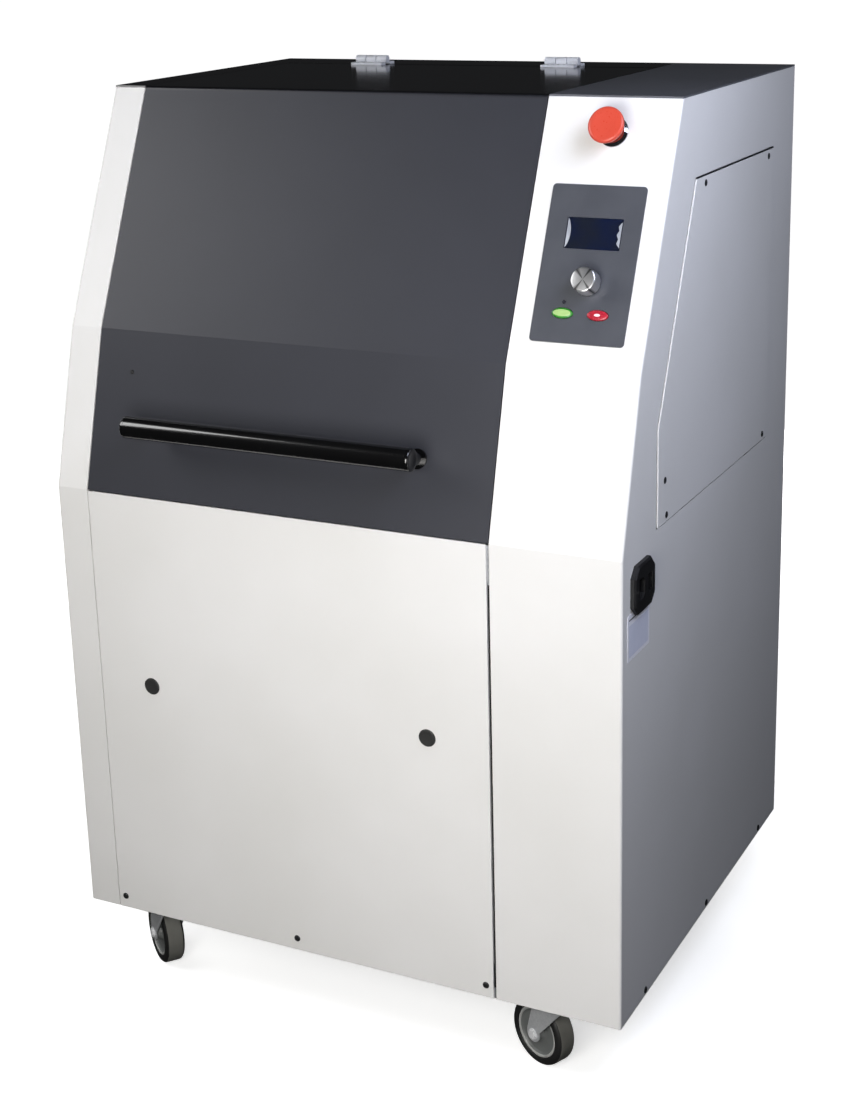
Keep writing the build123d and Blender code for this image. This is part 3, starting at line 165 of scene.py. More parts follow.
# Gloss enamel over steel sheet: dark, clear-coated, with faint dust in the reflections
def glossEnamel(name, light, dark, roughness, coat, peel=6.0):
    material, tree = startMaterial(name)
    place = add(tree, "ShaderNodeTexCoord").outputs["Object"]
    cloud = add(tree, "ShaderNodeTexNoise", {"Vector": place, "Scale": perMetre(180), "Detail": 4.0})
    skin = add(tree, "ShaderNodeTexNoise", {"Vector": place, "Scale": perMetre(peel), "Detail": 2.0})
    colour = ramp(tree, cloud.outputs["Fac"], [(0.3, linear(dark)), (0.7, linear(light))])
    gloss = ramp(tree, cloud.outputs["Fac"], [(0.3, grey(roughness)), (0.7, grey(roughness + 0.05))])
    bump = add(tree, "ShaderNodeBump", {"Strength": 0.2, "Distance": 0.00003, "Height": skin.outputs["Fac"]})
    endMaterial(tree, {
        "Base Color": colour, "Roughness": gloss, "Normal": bump.outputs["Normal"], "IOR": 1.52,
        "Coat Weight": coat, "Coat Roughness": 0.06, "Coat IOR": 1.5,
    })
    return material


# Lid enamel: satin on the two slopes and polished on the flat top, as its height tells. The top's colour is painted
# near black there, a painted shade for the dark it reflects
def lidEnamel(name, slope, dark, flat, roughness, polished, level):
    material, tree = startMaterial(name)
    place = add(tree, "ShaderNodeTexCoord").outputs["Object"]
    cloud = add(tree, "ShaderNodeTexNoise", {"Vector": place, "Scale": perMetre(260), "Detail": 3.0})
    height = add(tree, "ShaderNodeSeparateXYZ", {"Vector": place}).outputs["Z"]
    topMaskShadeAndGloss = add(tree, "ShaderNodeMapRange", {"Value": height, "From Min": level - 0.004, "From Max": level})
    top = topMaskShadeAndGloss.outputs["Result"]
    tone = ramp(tree, cloud.outputs["Fac"], [(0.3, linear(dark)), (0.7, linear(slope))])
    # The flat top takes the near-black colour: painted shade, not a different enamel
    colour = add(tree, "ShaderNodeMix", {"Factor": top, "A": tone, "B": linear(flat)}, data_type="RGBA")
    gloss = ramp(tree, top, [(0.0, grey(roughness)), (1.0, grey(polished))])
    shine = ramp(tree, top, [(0.0, grey(0.28)), (1.0, grey(0.5))])
    skin = add(tree, "ShaderNodeTexNoise", {"Vector": place, "Scale": perMetre(5), "Detail": 2.0})
    bump = add(tree, "ShaderNodeBump", {"Strength": 0.2, "Distance": 0.00002, "Height": skin.outputs["Fac"]})
    endMaterial(tree, {
        "Base Color": colour.outputs["Result"], "Roughness": gloss, "Specular IOR Level": shine, "IOR": 1.52,
        "Normal": bump.outputs["Normal"],
    })
    return material


# Steel or aluminium with marks drawn along one axis, by a grinding belt or a lathe
def workedMetal(name, light, dark, roughness, grain, stretch, marks=0.00003, metallic=1.0):
    material, tree = startMaterial(name)
    place = add(tree, "ShaderNodeTexCoord").outputs["Object"]
    drawn = add(tree, "ShaderNodeMapping", {"Vector": place, "Scale": stretch}).outputs["Vector"]
    lines = add(tree, "ShaderNodeTexNoise", {"Vector": drawn, "Scale": perMetre(grain), "Detail": 5.0})
    cloud = add(tree, "ShaderNodeTexNoise", {"Vector": place, "Scale": perMetre(45), "Detail": 3.0})
    mixed = add(tree, "ShaderNodeMath", {0: lines.outputs["Fac"], 1: cloud.outputs["Fac"]}, operation="MULTIPLY")
    colour = ramp(tree, mixed.outputs["Value"], [(0.15, linear(dark)), (0.38, linear(light))])
    gloss = ramp(tree, lines.outputs["Fac"], [(0.3, grey(roughness - 0.06)), (0.7, grey(roughness + 0.08))])
    bump = add(tree, "ShaderNodeBump", {"Strength": 0.3, "Distance": marks, "Height": lines.outputs["Fac"]})
    endMaterial(tree, {
        "Base Color": colour, "Metallic": metallic, "Roughness": gloss, "Normal": bump.outputs["Normal"],
    })
    return material


# Injection-moulded plastic, spark-eroded tool: a fine even grain that dulls the highlights
def mouldedPlastic(name, light, dark, roughness, grain, height=0.00005, glow=None):
    material, tree = startMaterial(name)
    place = add(tree, "ShaderNodeTexCoord").outputs["Object"]
    skin = add(tree, "ShaderNodeTexNoise", {"Vector": place, "Scale": perMetre(grain), "Detail": 4.0})
    cloud = add(tree, "ShaderNodeTexNoise", {"Vector": place, "Scale": perMetre(30), "Detail": 2.0})
    colour = ramp(tree, cloud.outputs["Fac"], [(0.3, linear(dark)), (0.7, linear(light))])
    gloss = ramp(tree, skin.outputs["Fac"], [(0.3, grey(roughness - 0.04)), (0.7, grey(roughness + 0.06))])
    bump = add(tree, "ShaderNodeBump", {"Strength": 0.4, "Distance": height, "Height": skin.outputs["Fac"]})
    inputs = {"Base Color": colour, "Roughness": gloss, "Normal": bump.outputs["Normal"], "IOR": 1.5}
    if glow:
        inputs["Emission Color"] = linear(glow[0])
        inputs["Emission Strength"] = glow[1]
    endMaterial(tree, inputs)
    return material


# Spun aluminium, turned about the piece's own z axis: dark sectors between light ones are painted into its colour
# round the axis, a painted reflection, and fine rings are bumped in
def spunMetal(name, light, dark, roughness, paintedReflectionWedges):
    material, tree = startMaterial(name)
    place = add(tree, "ShaderNodeTexCoord").outputs["Object"]
    turn = add(tree, "ShaderNodeTexGradient", {"Vector": place}, gradient_type="RADIAL").outputs["Fac"]
    # Dark sectors between light ones round the axis: painted reflection
    stops = []
    for angle, half in paintedReflectionWedges:
        stops += [(angle - half, linear(light)), (angle, linear(dark)), (angle + half, linear(light))]
    colour = ramp(tree, turn, stops)
    lines = add(
        tree, "ShaderNodeTexWave", {"Vector": place, "Scale": perMetre(2.2)}, wave_type="RINGS", rings_direction="Z"
    )
    bump = add(tree, "ShaderNodeBump", {"Strength": 0.15, "Distance": 0.00002, "Height": lines.outputs["Fac"]})
    endMaterial(tree, {
        "Base Color": colour, "Metallic": 1.0, "Roughness": roughness, "Normal": bump.outputs["Normal"],
    })
    return material


# Open-cell acoustic foam, cast and cut: matt cells about 3 mm wide
def acousticFoam(name):
    material, tree = startMaterial(name)
    place = add(tree, "ShaderNodeTexCoord").outputs["Object"]
    cells = add(tree, "ShaderNodeTexVoronoi", {"Vector": place, "Scale": perMetre(3.0)})
    colour = ramp(tree, cells.outputs["Distance"], [(0.1, linear("0d0d0e")), (0.6, linear("2a2a2c"))])
    bump = add(tree, "ShaderNodeBump", {"Strength": 0.8, "Distance": 0.0008, "Height": cells.outputs["Distance"]})
    endMaterial(tree, {"Base Color": colour, "Roughness": 0.95, "Normal": bump.outputs["Normal"], "IOR": 1.45})
    return material


# Float glass over a dark display, polished: clear reflections on a navy ground
def displayGlass(name):
    material, tree = startMaterial(name)
    place = add(tree, "ShaderNodeTexCoord").outputs["Object"]
    smear = add(tree, "ShaderNodeTexNoise", {"Vector": place, "Scale": perMetre(25), "Detail": 3.0})
    colour = ramp(tree, smear.outputs["Fac"], [(0.3, linear("1a1e28")), (0.7, linear("0f1834"))])
    gloss = ramp(tree, smear.outputs["Fac"], [(0.3, grey(0.04)), (0.7, grey(0.12))])
    endMaterial(tree, {"Base Color": colour, "Roughness": gloss, "IOR": 1.52, "Coat Weight": 0.6})
    return material


whiteCoat = powderCoat("polyesterPowderCoatWhite", "e9e8e6", "e3e2df", 4.0, 0.42, 0.00004, 0.2)
# The lid's near-black top colour 0b0b0c is painted shade on the same graphite enamel as its slopes
lidCoat = lidEnamel("graphiteEnamelLid", "393a40", "34353a", "0b0b0c", 0.42, 0.12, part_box("lid_shell")[1].z - 0.0005)
# Top cover: the lid's graphite enamel, painted near black as a painted shade for the dark it reflects
topCoatPaintedShade = glossEnamel("graphiteEnamelTop", "0b0b0c", "09090a", 0.12, 0.0)
# Right top cover: the same graphite enamel, painted a lighter grey as a painted reflection brighter than on the rest
# of the top
coverCoatPaintedSheen = glossEnamel("graphiteEnamelCover", "67686c", "606165", 0.3, 0.5)
handleCoat = glossEnamel("blackGlossCoatHandle", "0b0b0c", "070707", 0.16, 0.8, 3.0)
zincPlate = workedMetal("zincPlatedSteel", "dcdee1", "c6c9cd", 0.42, 3.0, (1, 1, 1), 0.000005)
stainless = workedMetal("beadBlastedStainlessLiner", "c6c7c8", "b6b8ba", 0.5, 2.0, (1, 1, 1), 0.000005, 0.45)
toolSteel = workedMetal("groundToolSteel", "b4b5b7", "a2a4a7", 0.4, 1.2, (0.1, 1, 1), 0.00001, 0.6)
polishedNickel = workedMetal("polishedNickelPlate", "d9d9da", "bdbdc0", 0.12, 2.0, (1, 1, 1), 0.00001)
# The dial's dark sectors are painted reflection
turnedAluminium = spunMetal(
    "spunAluminiumPaintedWedges", "f6f6f8", "4a4b4e", 0.34, [(0.16, 0.035), (0.36, 0.03), (0.66, 0.03), (0.86, 0.045)]
)
motorEnamel = glossEnamel("motorEnamelBlueGrey", "33404c", "2c3843", 0.4, 0.2)
framePaint = powderCoat("framePowderCoatGrey", "63666b", "575a5f", 3.0, 0.5, 0.00005)
chalkyZinc = workedMetal("passivatedZincPlateChalky", "dfe1e3", "ced1d4", 0.45, 3.0, (1, 1, 1), 0.000005, 0.45)
blackPlastic = mouldedPlastic("blackPolyamide", "1b1b1c", "131314", 0.5, 1.2)
blackGlossPlastic = mouldedPlastic("blackAbsPolished", "101012", "0a0a0b", 0.2, 2.0, 0.00001)
greyNylon = mouldedPlastic("greyPolyamideWheelDisc", "6f7271", "656867", 0.42, 1.5)
# Lighter grey of the wheel ring: a painted highlight on the lip's edge
ringHighlightNylon = mouldedPlastic("paintedHighlightRing", "b9bab8", "a8a9a7", 0.4, 1.5)
tyreRubber = mouldedPlastic("thermoplasticRubberTyre", "1f1f1f", "171717", 0.55, 1.4, 0.0001)
treadRubber = mouldedPlastic("scuffedRubberTread", "74746f", "686863", 0.7, 2.5, 0.0002)
bufferRubber = mouldedPlastic("naturalRubberBuffer", "1a1a1a", "121212", 0.7, 1.5, 0.0001)
foam = acousticFoam("acousticFoamBlack")
fasciaFilm = mouldedPlastic("fasciaPolyesterFilm", "4b4d53", "45474d", 0.4, 1.0, 0.00002)
glassPane = displayGlass("displayCoverGlass")
greenCap = mouldedPlastic("greenAcrylicCap", "3f9636", "347d2c", 0.25, 2.0, 0.00001)
greenGlow = mouldedPlastic("litGreenAcrylicLens", "a5c47e", "97b870", 0.2, 2.0, 0.00001, ("b8d890", 0.15))
redCap = mouldedPlastic("redAcrylicCap", "c3303f", "a82433", 0.25, 2.0, 0.00001)
# The stop lens is pale and glows: a painted glint on the red cap
redGlow = mouldedPlastic("stopLensPaintedGlint", "f6d8da", "eec6ca", 0.15, 2.0, 0.00001, ("ffe8ea", 0.3))
estopRed = mouldedPlastic("redPolyamideMushroom", "d04d3a", "c94835", 0.3, 2.0, 0.000002)
# The stem is a darker copy of the cap's red: painted shade for the shaded side under the mushroom
stemRedPaintedShade = mouldedPlastic("redPolyamideStemPaintedShade", "6e1d15", "611811", 0.4, 2.0, 0.00001)
lampLens = mouldedPlastic("smokedPolycarbonateLens", "3a3b42", "2c2d33", 0.1, 2.0, 0.00001)
platePolyester = mouldedPlastic("blankPolyesterPlate", "fafaff", "f2f3fd", 0.3, 4.0, 0.00002)
plateTint = mouldedPlastic("tintedPolyesterField", "e2e5f4", "d8dcec", 0.35, 6.0, 0.00002)
# Pale silver of the display's bezel ends: partly the bezel's own tone, partly painted glare
bezelSilverPaintedGlare = mouldedPlastic("silverBezelPaintedGlare", "b4b7bc", "8c8f95", 0.3, 2.0, 0.00001)
plugPlastic = mouldedPlastic("blackPolyethylenePlug", "2c2c2b", "222221", 0.6, 1.2)
# Chromed zinc castings drawn as a white non-metal: the white is a painted sheen for the chrome's bright reflections
chromeSheenWhite = mouldedPlastic("whitePaintedChromeSheen", "e9eaec", "dcdde0", 0.28, 3.0, 0.00002)
print("stage: materials made")

nodeMaterials = {
    "left_housing": whiteCoat, "right_housing": whiteCoat, "front_panel": whiteCoat, "rear_panel": whiteCoat,
    "side_access_panel": whiteCoat, "top_cover": topCoatPaintedShade, "right_top_cover": coverCoatPaintedSheen, "lid_shell": lidCoat,
    "lid_insulation": foam, "handle_bar": handleCoat, "handle_posts": handleCoat, "hinge_bases": polishedNickel,
    "hinge_leaves": polishedNickel, "hole_plugs": blackPlastic, "panel_screws": blackPlastic,
    "base_tray": zincPlate, "front_cross_rail": zincPlate, "rear_hinge_rail": zincPlate,
    "chamber_liner": stainless, "carrier_frame": framePaint, "rubber_buffers": bufferRubber,
    "vibrating_platform": framePaint, "motor_housing": motorEnamel, "motor_bearings": toolSteel,
    "motor_shaft": toolSteel, "eccentric_weight": toolSteel, "grinding_bowl": toolSteel,
    "grinding_ring": toolSteel, "grinding_puck": toolSteel, "bowl_lid": toolSteel, "clamp_yoke": framePaint,
    "clamp_spindle": zincPlate, "clamp_knob": blackPlastic, "gas_spring_cylinders": handleCoat,
    "gas_spring_rods": polishedNickel, "control_fascia": fasciaFilm, "display_module": glassPane,
    "status_light": lampLens, "encoder_shaft": zincPlate, "encoder_knob": turnedAluminium,
    "start_button": greenCap, "stop_button": redCap, "estop_collar": polishedNickel,
    "estop_stem": stemRedPaintedShade, "estop_head": estopRed, "mains_unit": blackPlastic,
    "power_rocker": blackGlossPlastic, "frequency_inverter": blackPlastic, "lid_interlock": blackPlastic,
    "castor_plates": zincPlate,
}


def dressNode(name, material):
    piece = nodes[name]
    for holder in piece.material_slots:
        holder.material = material
    if not piece.material_slots:
        piece.data.materials.append(material)


for name in nodes:
    if name.startswith("castor_fork"):
        dressNode(name, zincPlate)
    elif name.startswith("castor_wheel"):
        dressNode(name, tyreRubber)
    elif name.startswith("castor_brake"):
        dressNode(name, blackPlastic)
    else:
        dressNode(name, nodeMaterials[name])
print("stage: nodes dressed")


# A new piece: its mesh is already in place, so the object stays at the origin
def makePiece(name, vertices, faces, body, material, slot, replaced=(), smoothAngle=32.0, bevel=0.0, place=None):
    mesh = bpy.data.meshes.new(name)
    mesh.from_pydata([tuple(v) for v in vertices], [], faces)
    mesh.validate()
    mesh.materials.append(material)
    mesh.shade_smooth()
    mesh.set_sharp_from_angle(angle=math.radians(smoothAngle))
    piece = bpy.data.objects.new(name, mesh)
    bpy.context.scene.collection.objects.link(piece)
    if place:
        piece.matrix_world = place
    if bevel:
        edge = piece.modifiers.new("edge", "BEVEL")
        edge.width = bevel / 1000
        edge.segments = 3
        edge.limit_method = "ANGLE"
        edge.angle_limit = math.radians(40)
        edge.harden_normals = True
    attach(piece, body)
    if replaced:
        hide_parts(*replaced)


# Rings of a profile of (radius, height) in mm turned about the z axis of a place
def turnedMesh(profile, place, segments=64, closed=False):
    vertices, faces, rings = [], [], []
    for radius, height in profile:
        start = len(vertices)
        if radius < 0.001:
            vertices.append(place @ Vector((0, 0, height / 1000)))
            rings.append([start] * segments)
            continue
        for index in range(segments):
            angle = 2 * math.pi * index / segments
            spot = Vector((radius * math.cos(angle), radius * math.sin(angle), height)) / 1000
            vertices.append(place @ spot)
        rings.append([start + index for index in range(segments)])
    pairs = list(zip(rings, rings[1:]))
    if closed:
        pairs.append((rings[-1], rings[0]))
    for lower, higher in pairs:
        for index in range(segments):
            following = (index + 1) % segments
            corners = [lower[index], lower[following], higher[following], higher[index]]
            unique = list(dict.fromkeys(corners))
            if len(unique) > 2:
                faces.append(unique)
    return vertices, faces


# A flat outline in mm drawn from one height to another
def drawnMesh(outline, low, high, place):
    count = len(outline)
    vertices = [place @ (Vector((x, y, low)) / 1000) for x, y in outline]
    vertices += [place @ (Vector((x, y, high)) / 1000) for x, y in outline]
    faces = [list(range(count - 1, -1, -1)), list(range(count, 2 * count))]
    for index in range(count):
        following = (index + 1) % count
        faces.append([index, following, count + following, count + index])
    return vertices, faces


# Several meshes in one piece
def joined(parts):
    vertices, faces = [], []
    for partVertices, partFaces in parts:
        shift = len(vertices)
        vertices += partVertices
        faces += [[index + shift for index in face] for face in partFaces]
    return vertices, faces


def roundedOutline(wide, tall, radius, steps=6, middle=(0.0, 0.0)):
    outline = []
    for turn, (sideX, sideY) in enumerate(((1, 1), (-1, 1), (-1, -1), (1, -1))):
        centre = (middle[0] + sideX * (wide / 2 - radius), middle[1] + sideY * (tall / 2 - radius))
        for step in range(steps + 1):
            angle = math.pi / 2 * (turn + step / steps)
            outline.append((centre[0] + radius * math.cos(angle), centre[1] + radius * math.sin(angle)))
    return outline


# A place with its z axis along a direction, at a point in metres
def placeAlong(point, direction, upward=(0, 0, 1)):
    zAxis = Vector(direction).normalized()
    xAxis = Vector(upward).cross(zAxis)
    if xAxis.length < 0.01:
        xAxis = Vector((1, 0, 0))
    xAxis.normalize()
    place = Matrix((xAxis, zAxis.cross(xAxis), zAxis)).transposed().to_4x4()
    place.translation = Vector(point)
    return place


def boxMiddle(name):
    low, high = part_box(name)
    return (low + high) / 2


# A place on the right side: x to the rear, y up, z out of the sheet
def sidePlace(y, z, out):
    place = Matrix(((0, 0, 1), (1, 0, 0), (0, 1, 0))).to_4x4()
    place.translation = at(350 + out, y, z)
    return place


# The face of the upper slope: x to the right, y up the slope, z out of the face
slopeOut = Vector(joints["dial_turn"]["axis"])


def slopePlace(point):
    return placeAlong(point, slopeOut, slopeOut.cross(Vector((1, 0, 0))))


# The studio, in metres: a pale floor and a white backdrop that only the camera sees, and soft boxes all round.
# A soft box marked fill gives light but doesn't show in polished faces.
studio = {
    "floor": "f6f6f5", "glow": 0.62, "farGlow": 1.0, "near": 0.9, "far": 2.4, "reach": 16.0, "roughness": 0.75,
    "backdrop": 7.5, "ambient": 0.02,
}
softBoxes = {
    "key": {"at": (0.38, -1.5, 0.82), "aim": (0.25, -0.3, 0.5), "size": 0.7, "power": 16.5, "colour": "fffdfa"},
    "leftHigh": {"at": (-1.3, -1.0, 1.6), "aim": (-0.3, -0.2, 0.9), "size": 0.8, "power": 12.0, "colour": "ffffff"},
    "nearRight": {
        "at": (0.95, -0.75, 1.35), "aim": (0.35, -0.15, 0.9), "size": 0.5, "power": 4.6, "colour": "e6ecff",
        "fill": True,
    },
    "sideTop": {"at": (0.85, -0.38, 1.5), "aim": (0.35, -0.2, 0.9), "size": 0.45, "power": 5.4, "colour": "e2e9ff"},
    "rearLow": {
        "at": (-0.5, 2.4, 0.75), "aim": (0.0, 0.3, 0.6), "size": 1.4, "power": 30.0, "colour": "ffffff",
        "fill": True,
    },
    "leftLow": {
        "at": (-2.2, 0.6, 0.8), "aim": (-0.35, 0.0, 0.5), "size": 1.2, "power": 18.0, "colour": "ffffff",
        "fill": True,
    },
}


def hideFromLight(piece):
    piece.visible_diffuse = False
    piece.visible_glossy = False
    piece.visible_transmission = False
    piece.visible_shadow = False


# Seamless paper with a painted glow: its emission rises with the distance from the machine, so the floor is painted
# dimmer round the machine, a painted shade; the backdrop glows evenly
def stagePiece(name, vertices, faces, colour, glow, farGlow, roughness):
    material, tree = startMaterial(name + "Paper")
    place = add(tree, "ShaderNodeTexCoord").outputs["Object"]
    cloud = add(tree, "ShaderNodeTexNoise", {"Vector": place, "Scale": perMetre(900), "Detail": 2.0})
    tone = ramp(tree, cloud.outputs["Fac"], [(0.3, linear("f1f1f0")), (0.7, linear(colour))])
    away = add(tree, "ShaderNodeVectorMath", {0: place}, operation="LENGTH").outputs["Value"]
    share = add(tree, "ShaderNodeMapRange", {
        "Value": away, "From Min": studio["near"], "From Max": studio["far"], "To Min": glow, "To Max": farGlow,
    })
    endMaterial(tree, {
        "Base Color": tone, "Roughness": roughness, "Emission Color": linear("ffffff"),
        "Emission Strength": share.outputs["Result"],
    })
    mesh = bpy.data.meshes.new(name)
    mesh.from_pydata([tuple(vertex) for vertex in vertices], [], faces)
    mesh.materials.append(material)
    piece = bpy.data.objects.new(name, mesh)
    bpy.context.scene.collection.objects.link(piece)
    hideFromLight(piece)


def makeStage():
    half = studio["reach"] / 2
    corners = [(-half, -half, 0), (half, -half, 0), (half, half, 0), (-half, half, 0)]
    glow, farGlow = studio["glow"], studio["farGlow"]
    stagePiece("studioFloor", corners, [(0, 1, 2, 3)], studio["floor"], glow, farGlow, studio["roughness"])
    far = studio["backdrop"] * 1000
    arch = [(far * math.cos(math.radians(step)), far * math.sin(math.radians(step))) for step in range(-2, 91, 4)]
    stagePiece("studioBackdrop", *turnedMesh(arch, Matrix.Identity(4), 48), "ffffff", farGlow, farGlow, 0.9)
    for name, box in softBoxes.items():
        data = bpy.data.lights.new(name + "Softbox", "AREA")
        data.shape = "SQUARE"
        data.size = box["size"]
        data.energy = box["power"]
        data.color = linear(box["colour"])[:3]
        lamp = bpy.data.objects.new(name + "Softbox", data)
        bpy.context.scene.collection.objects.link(lamp)
        spot = Vector(box["at"])
        lamp.matrix_world = placeAlong(spot, spot - Vector(box["aim"]))
        lamp.visible_camera = False
        lamp.visible_glossy = not box.get("fill")
    world = bpy.data.worlds.new("studioWorld")
    world.use_nodes = True
    world.node_tree.nodes["Background"].inputs["Color"].default_value = linear("f2f4fa")
    world.node_tree.nodes["Background"].inputs["Strength"].default_value = studio["ambient"]
    bpy.context.scene.world = world


makeStage()
print("stage: floor, backdrop, lights and world made")


# Boxes of the separate solids of a node, found by following the faces that share a corner
def solidBoxes(name):
    mesh = nodes[name].data
    keys = [tuple(round(value, 5) for value in vertex.co) for vertex in mesh.vertices]
    group = {key: key for key in keys}

    def root(key):
        while group[key] != key:
            group[key] = group[group[key]]
            key = group[key]
        return key

    for face in mesh.polygons:
        first = root(keys[face.vertices[0]])
        for index in face.vertices[1:]:
            group[root(keys[index])] = first
    corners = {}
    for key in group:
        corners.setdefault(root(key), []).append(key)
    return [(Vector(map(min, zip(*spots))), Vector(map(max, zip(*spots)))) for spots in corners.values()]


# A point in mm in the cabinet's corner frame
def inCabinet(point):
    return (point - cabinetOrigin) * 1000


# Castors in mm: black tyre with a scuffed grey tread, nylon disc whose pale ring on its raised lip is a painted
# highlight, pressed zinc fork
castor = {
    "tyre": 40.0, "rim": 30.6, "half": 12.5, "tread": 9.4, "web": 8.0, "boss": 9.0, "bossHalf": 13.6,
    "ringHalf": 10.6, "gap": 14.6, "sheet": 2.3, "eye": 9.8, "crown": 51.3, "crownRadius": 24.6,
    "crownFront": 17.6, "crownRear": 23.6, "bolt": 5.8, "boltTall": 2.8,
}


def mirrored(profile):
    return [(r, -h) for r, h in profile] + [(r, h) for r, h in profile[::-1]]


def makeWheel(corner):
    joint = joints["wheel_spin_" + corner]
    place = placeAlong(joint["pos_m"], joint["axis"])
    body = "wheel_" + corner
    outer, rim, half, tread = castor["tyre"], castor["rim"], castor["half"], castor["tread"]
    wall = mirrored([
        (rim, half - 0.8), (rim + 0.8, half), (outer - 4.6, half - 0.1), (outer - 3.0, half - 0.6),
        (outer - 1.5, half - 1.7), (outer - 0.5, tread + 0.2), (outer - 0.5, tread - 0.6),
    ])
    makePiece(
        "tyre_" + corner, *turnedMesh(wall, place, 96, True), body, tyreRubber, "castor_tyre",
        ["castor_wheel_" + corner]
    )
    band = mirrored([
        (outer - 1.0, tread - 0.2), (outer - 0.45, tread), (outer - 0.1, tread - 1.2), (outer, tread - 3.4),
    ])
    makePiece("tread_" + corner, *turnedMesh(band, place, 96, True), body, treadRubber, "castor_tyre")
    web, boss, deep = castor["web"], castor["boss"], castor["bossHalf"]
    disc = mirrored([
        (4.2, deep), (boss - 0.8, deep), (boss, deep - 0.8), (boss + 1.6, web + 0.9), (boss + 3.0, web),
        (rim - 5.6, web), (rim - 4.4, web + 0.8), (rim - 3.4, web + 2.2),
    ][::-1])
    makePiece("wheelDisc_" + corner, *turnedMesh(disc, place, 72, True), body, greyNylon, "castor_tyre")
    lip = castor["ringHalf"]
    # The ring's lighter grey is a painted highlight on the lip
    ring = mirrored([(rim - 3.4, lip - 0.4), (rim - 2.6, lip + 0.7), (rim - 1.0, lip + 0.7), (rim - 0.2, lip)])
    makePiece("wheelRing_" + corner, *turnedMesh(ring, place, 96, True), body, ringHighlightNylon, "castor_tyre")


# The fork in its own frame: x from the kingpin to the axle, z up, origin under the kingpin at axle height
def makeFork(corner):
    axle = Vector(joints["wheel_spin_" + corner]["pos_m"])
    pin = Vector(joints["swivel_" + corner]["pos_m"])
    pin.z = axle.z
    trail = (axle - pin).length * 1000
    along = (axle - pin).normalized()
    upward = Vector((0, 0, 1))
    place = Matrix((along, upward.cross(along), upward)).transposed().to_4x4()
    place.translation = pin
    top, eye = castor["crown"], castor["eye"]
    rear, front = (castor["crownRear"], top), (-castor["crownFront"], top)
    outline = [front, (front[0] + 0.6, top - 7.0), (trail - eye, 4.0)]
    for step in range(13):
        angle = math.pi + math.pi * step / 12
        outline.append((trail + eye * math.cos(angle), eye * math.sin(angle)))
    outline += [(trail + eye, 4.0), (rear[0] + 3.0, top - 9.0), (rear[0], top)]
    parts = []
    for side in (-1, 1):
        legPlace = place @ Matrix.Rotation(math.pi / 2, 4, "X")
        low, high = sorted((side * castor["gap"], side * (castor["gap"] + castor["sheet"])))
        parts.append(drawnMesh(outline, low, high, legPlace))
    radius = castor["crownRadius"]
    crown = [
        (5.2, top - 2.8), (radius - 0.6, top - 2.8), (radius, top - 2.0), (radius, top - 0.8), (radius - 0.8, top),
        (5.2, top),
    ]
    parts.append(turnedMesh(crown, place, 64, True))
    makePiece(
        "fork_" + corner, *joined(parts), "fork_" + corner, chalkyZinc, "zinc_steel", ["castor_fork_" + corner],
        32.0, 0.5
    )
    bolts = []
    axlePlace = place @ Matrix.Translation((trail / 1000, 0, 0))
    reach = castor["gap"] + castor["sheet"]
    for side in (-1, 1):
        head = axlePlace @ Matrix.Rotation(-side * math.pi / 2, 4, "X") @ Matrix.Translation((0, 0, reach / 1000))
        bolt, tall = castor["bolt"], castor["boltTall"]
        washer = [(0, 0), (bolt + 1.0, 0), (bolt + 1.0, 0.7), (bolt, 0.8), (0, 0.8)]
        bolts.append(turnedMesh(washer, head, 32))
        hexagon = [(bolt, 0.8), (bolt, tall - 0.5), (bolt - 0.7, tall), (0, tall)]
        bolts.append(turnedMesh(hexagon, head, 6))
    makePiece("axleBolt_" + corner, *joined(bolts), "fork_" + corner, chromeSheenWhite, "zinc_steel")


for corner in ("front_left", "front_right", "rear_left", "rear_right"):
    makeWheel(corner)
    makeFork(corner)
print("stage: castors made")

# Emergency stop: a moulded mushroom cap with a soft rim and a flat face, mm along its axis
estop = {"rim": 19.4, "tall": 13.9}


def makeEstop():
    rim, tall = estop["rim"], estop["tall"]
    place = slopePlace(boxMiddle("estop_head") - slopeOut * tall / 2000)
    face = tall - 0.05
    cap = [
        (0, 0.2), (rim - 7.4, 0.2), (rim - 5.2, 1.2), (rim - 3.2, 3.4), (rim - 1.6, 6.2), (rim - 0.5, 8.6),
        (rim, 10.2), (rim - 0.1, 11.4), (rim - 0.6, 12.4), (rim - 1.5, 13.2), (rim - 2.8, 13.7), (rim - 4.6, face),
        (0, face),
    ]
    makePiece("mushroomCap", *turnedMesh(cap, place, 96), "estop_cap", estopRed, "red_plastic", ["estop_head"], 40)


makeEstop()

# Dial: turned aluminium with fine flutes on its side and a spun face
dial = {"radius": 13.9, "tall": 17.2, "flutes": 40, "fluteDeep": 0.5}


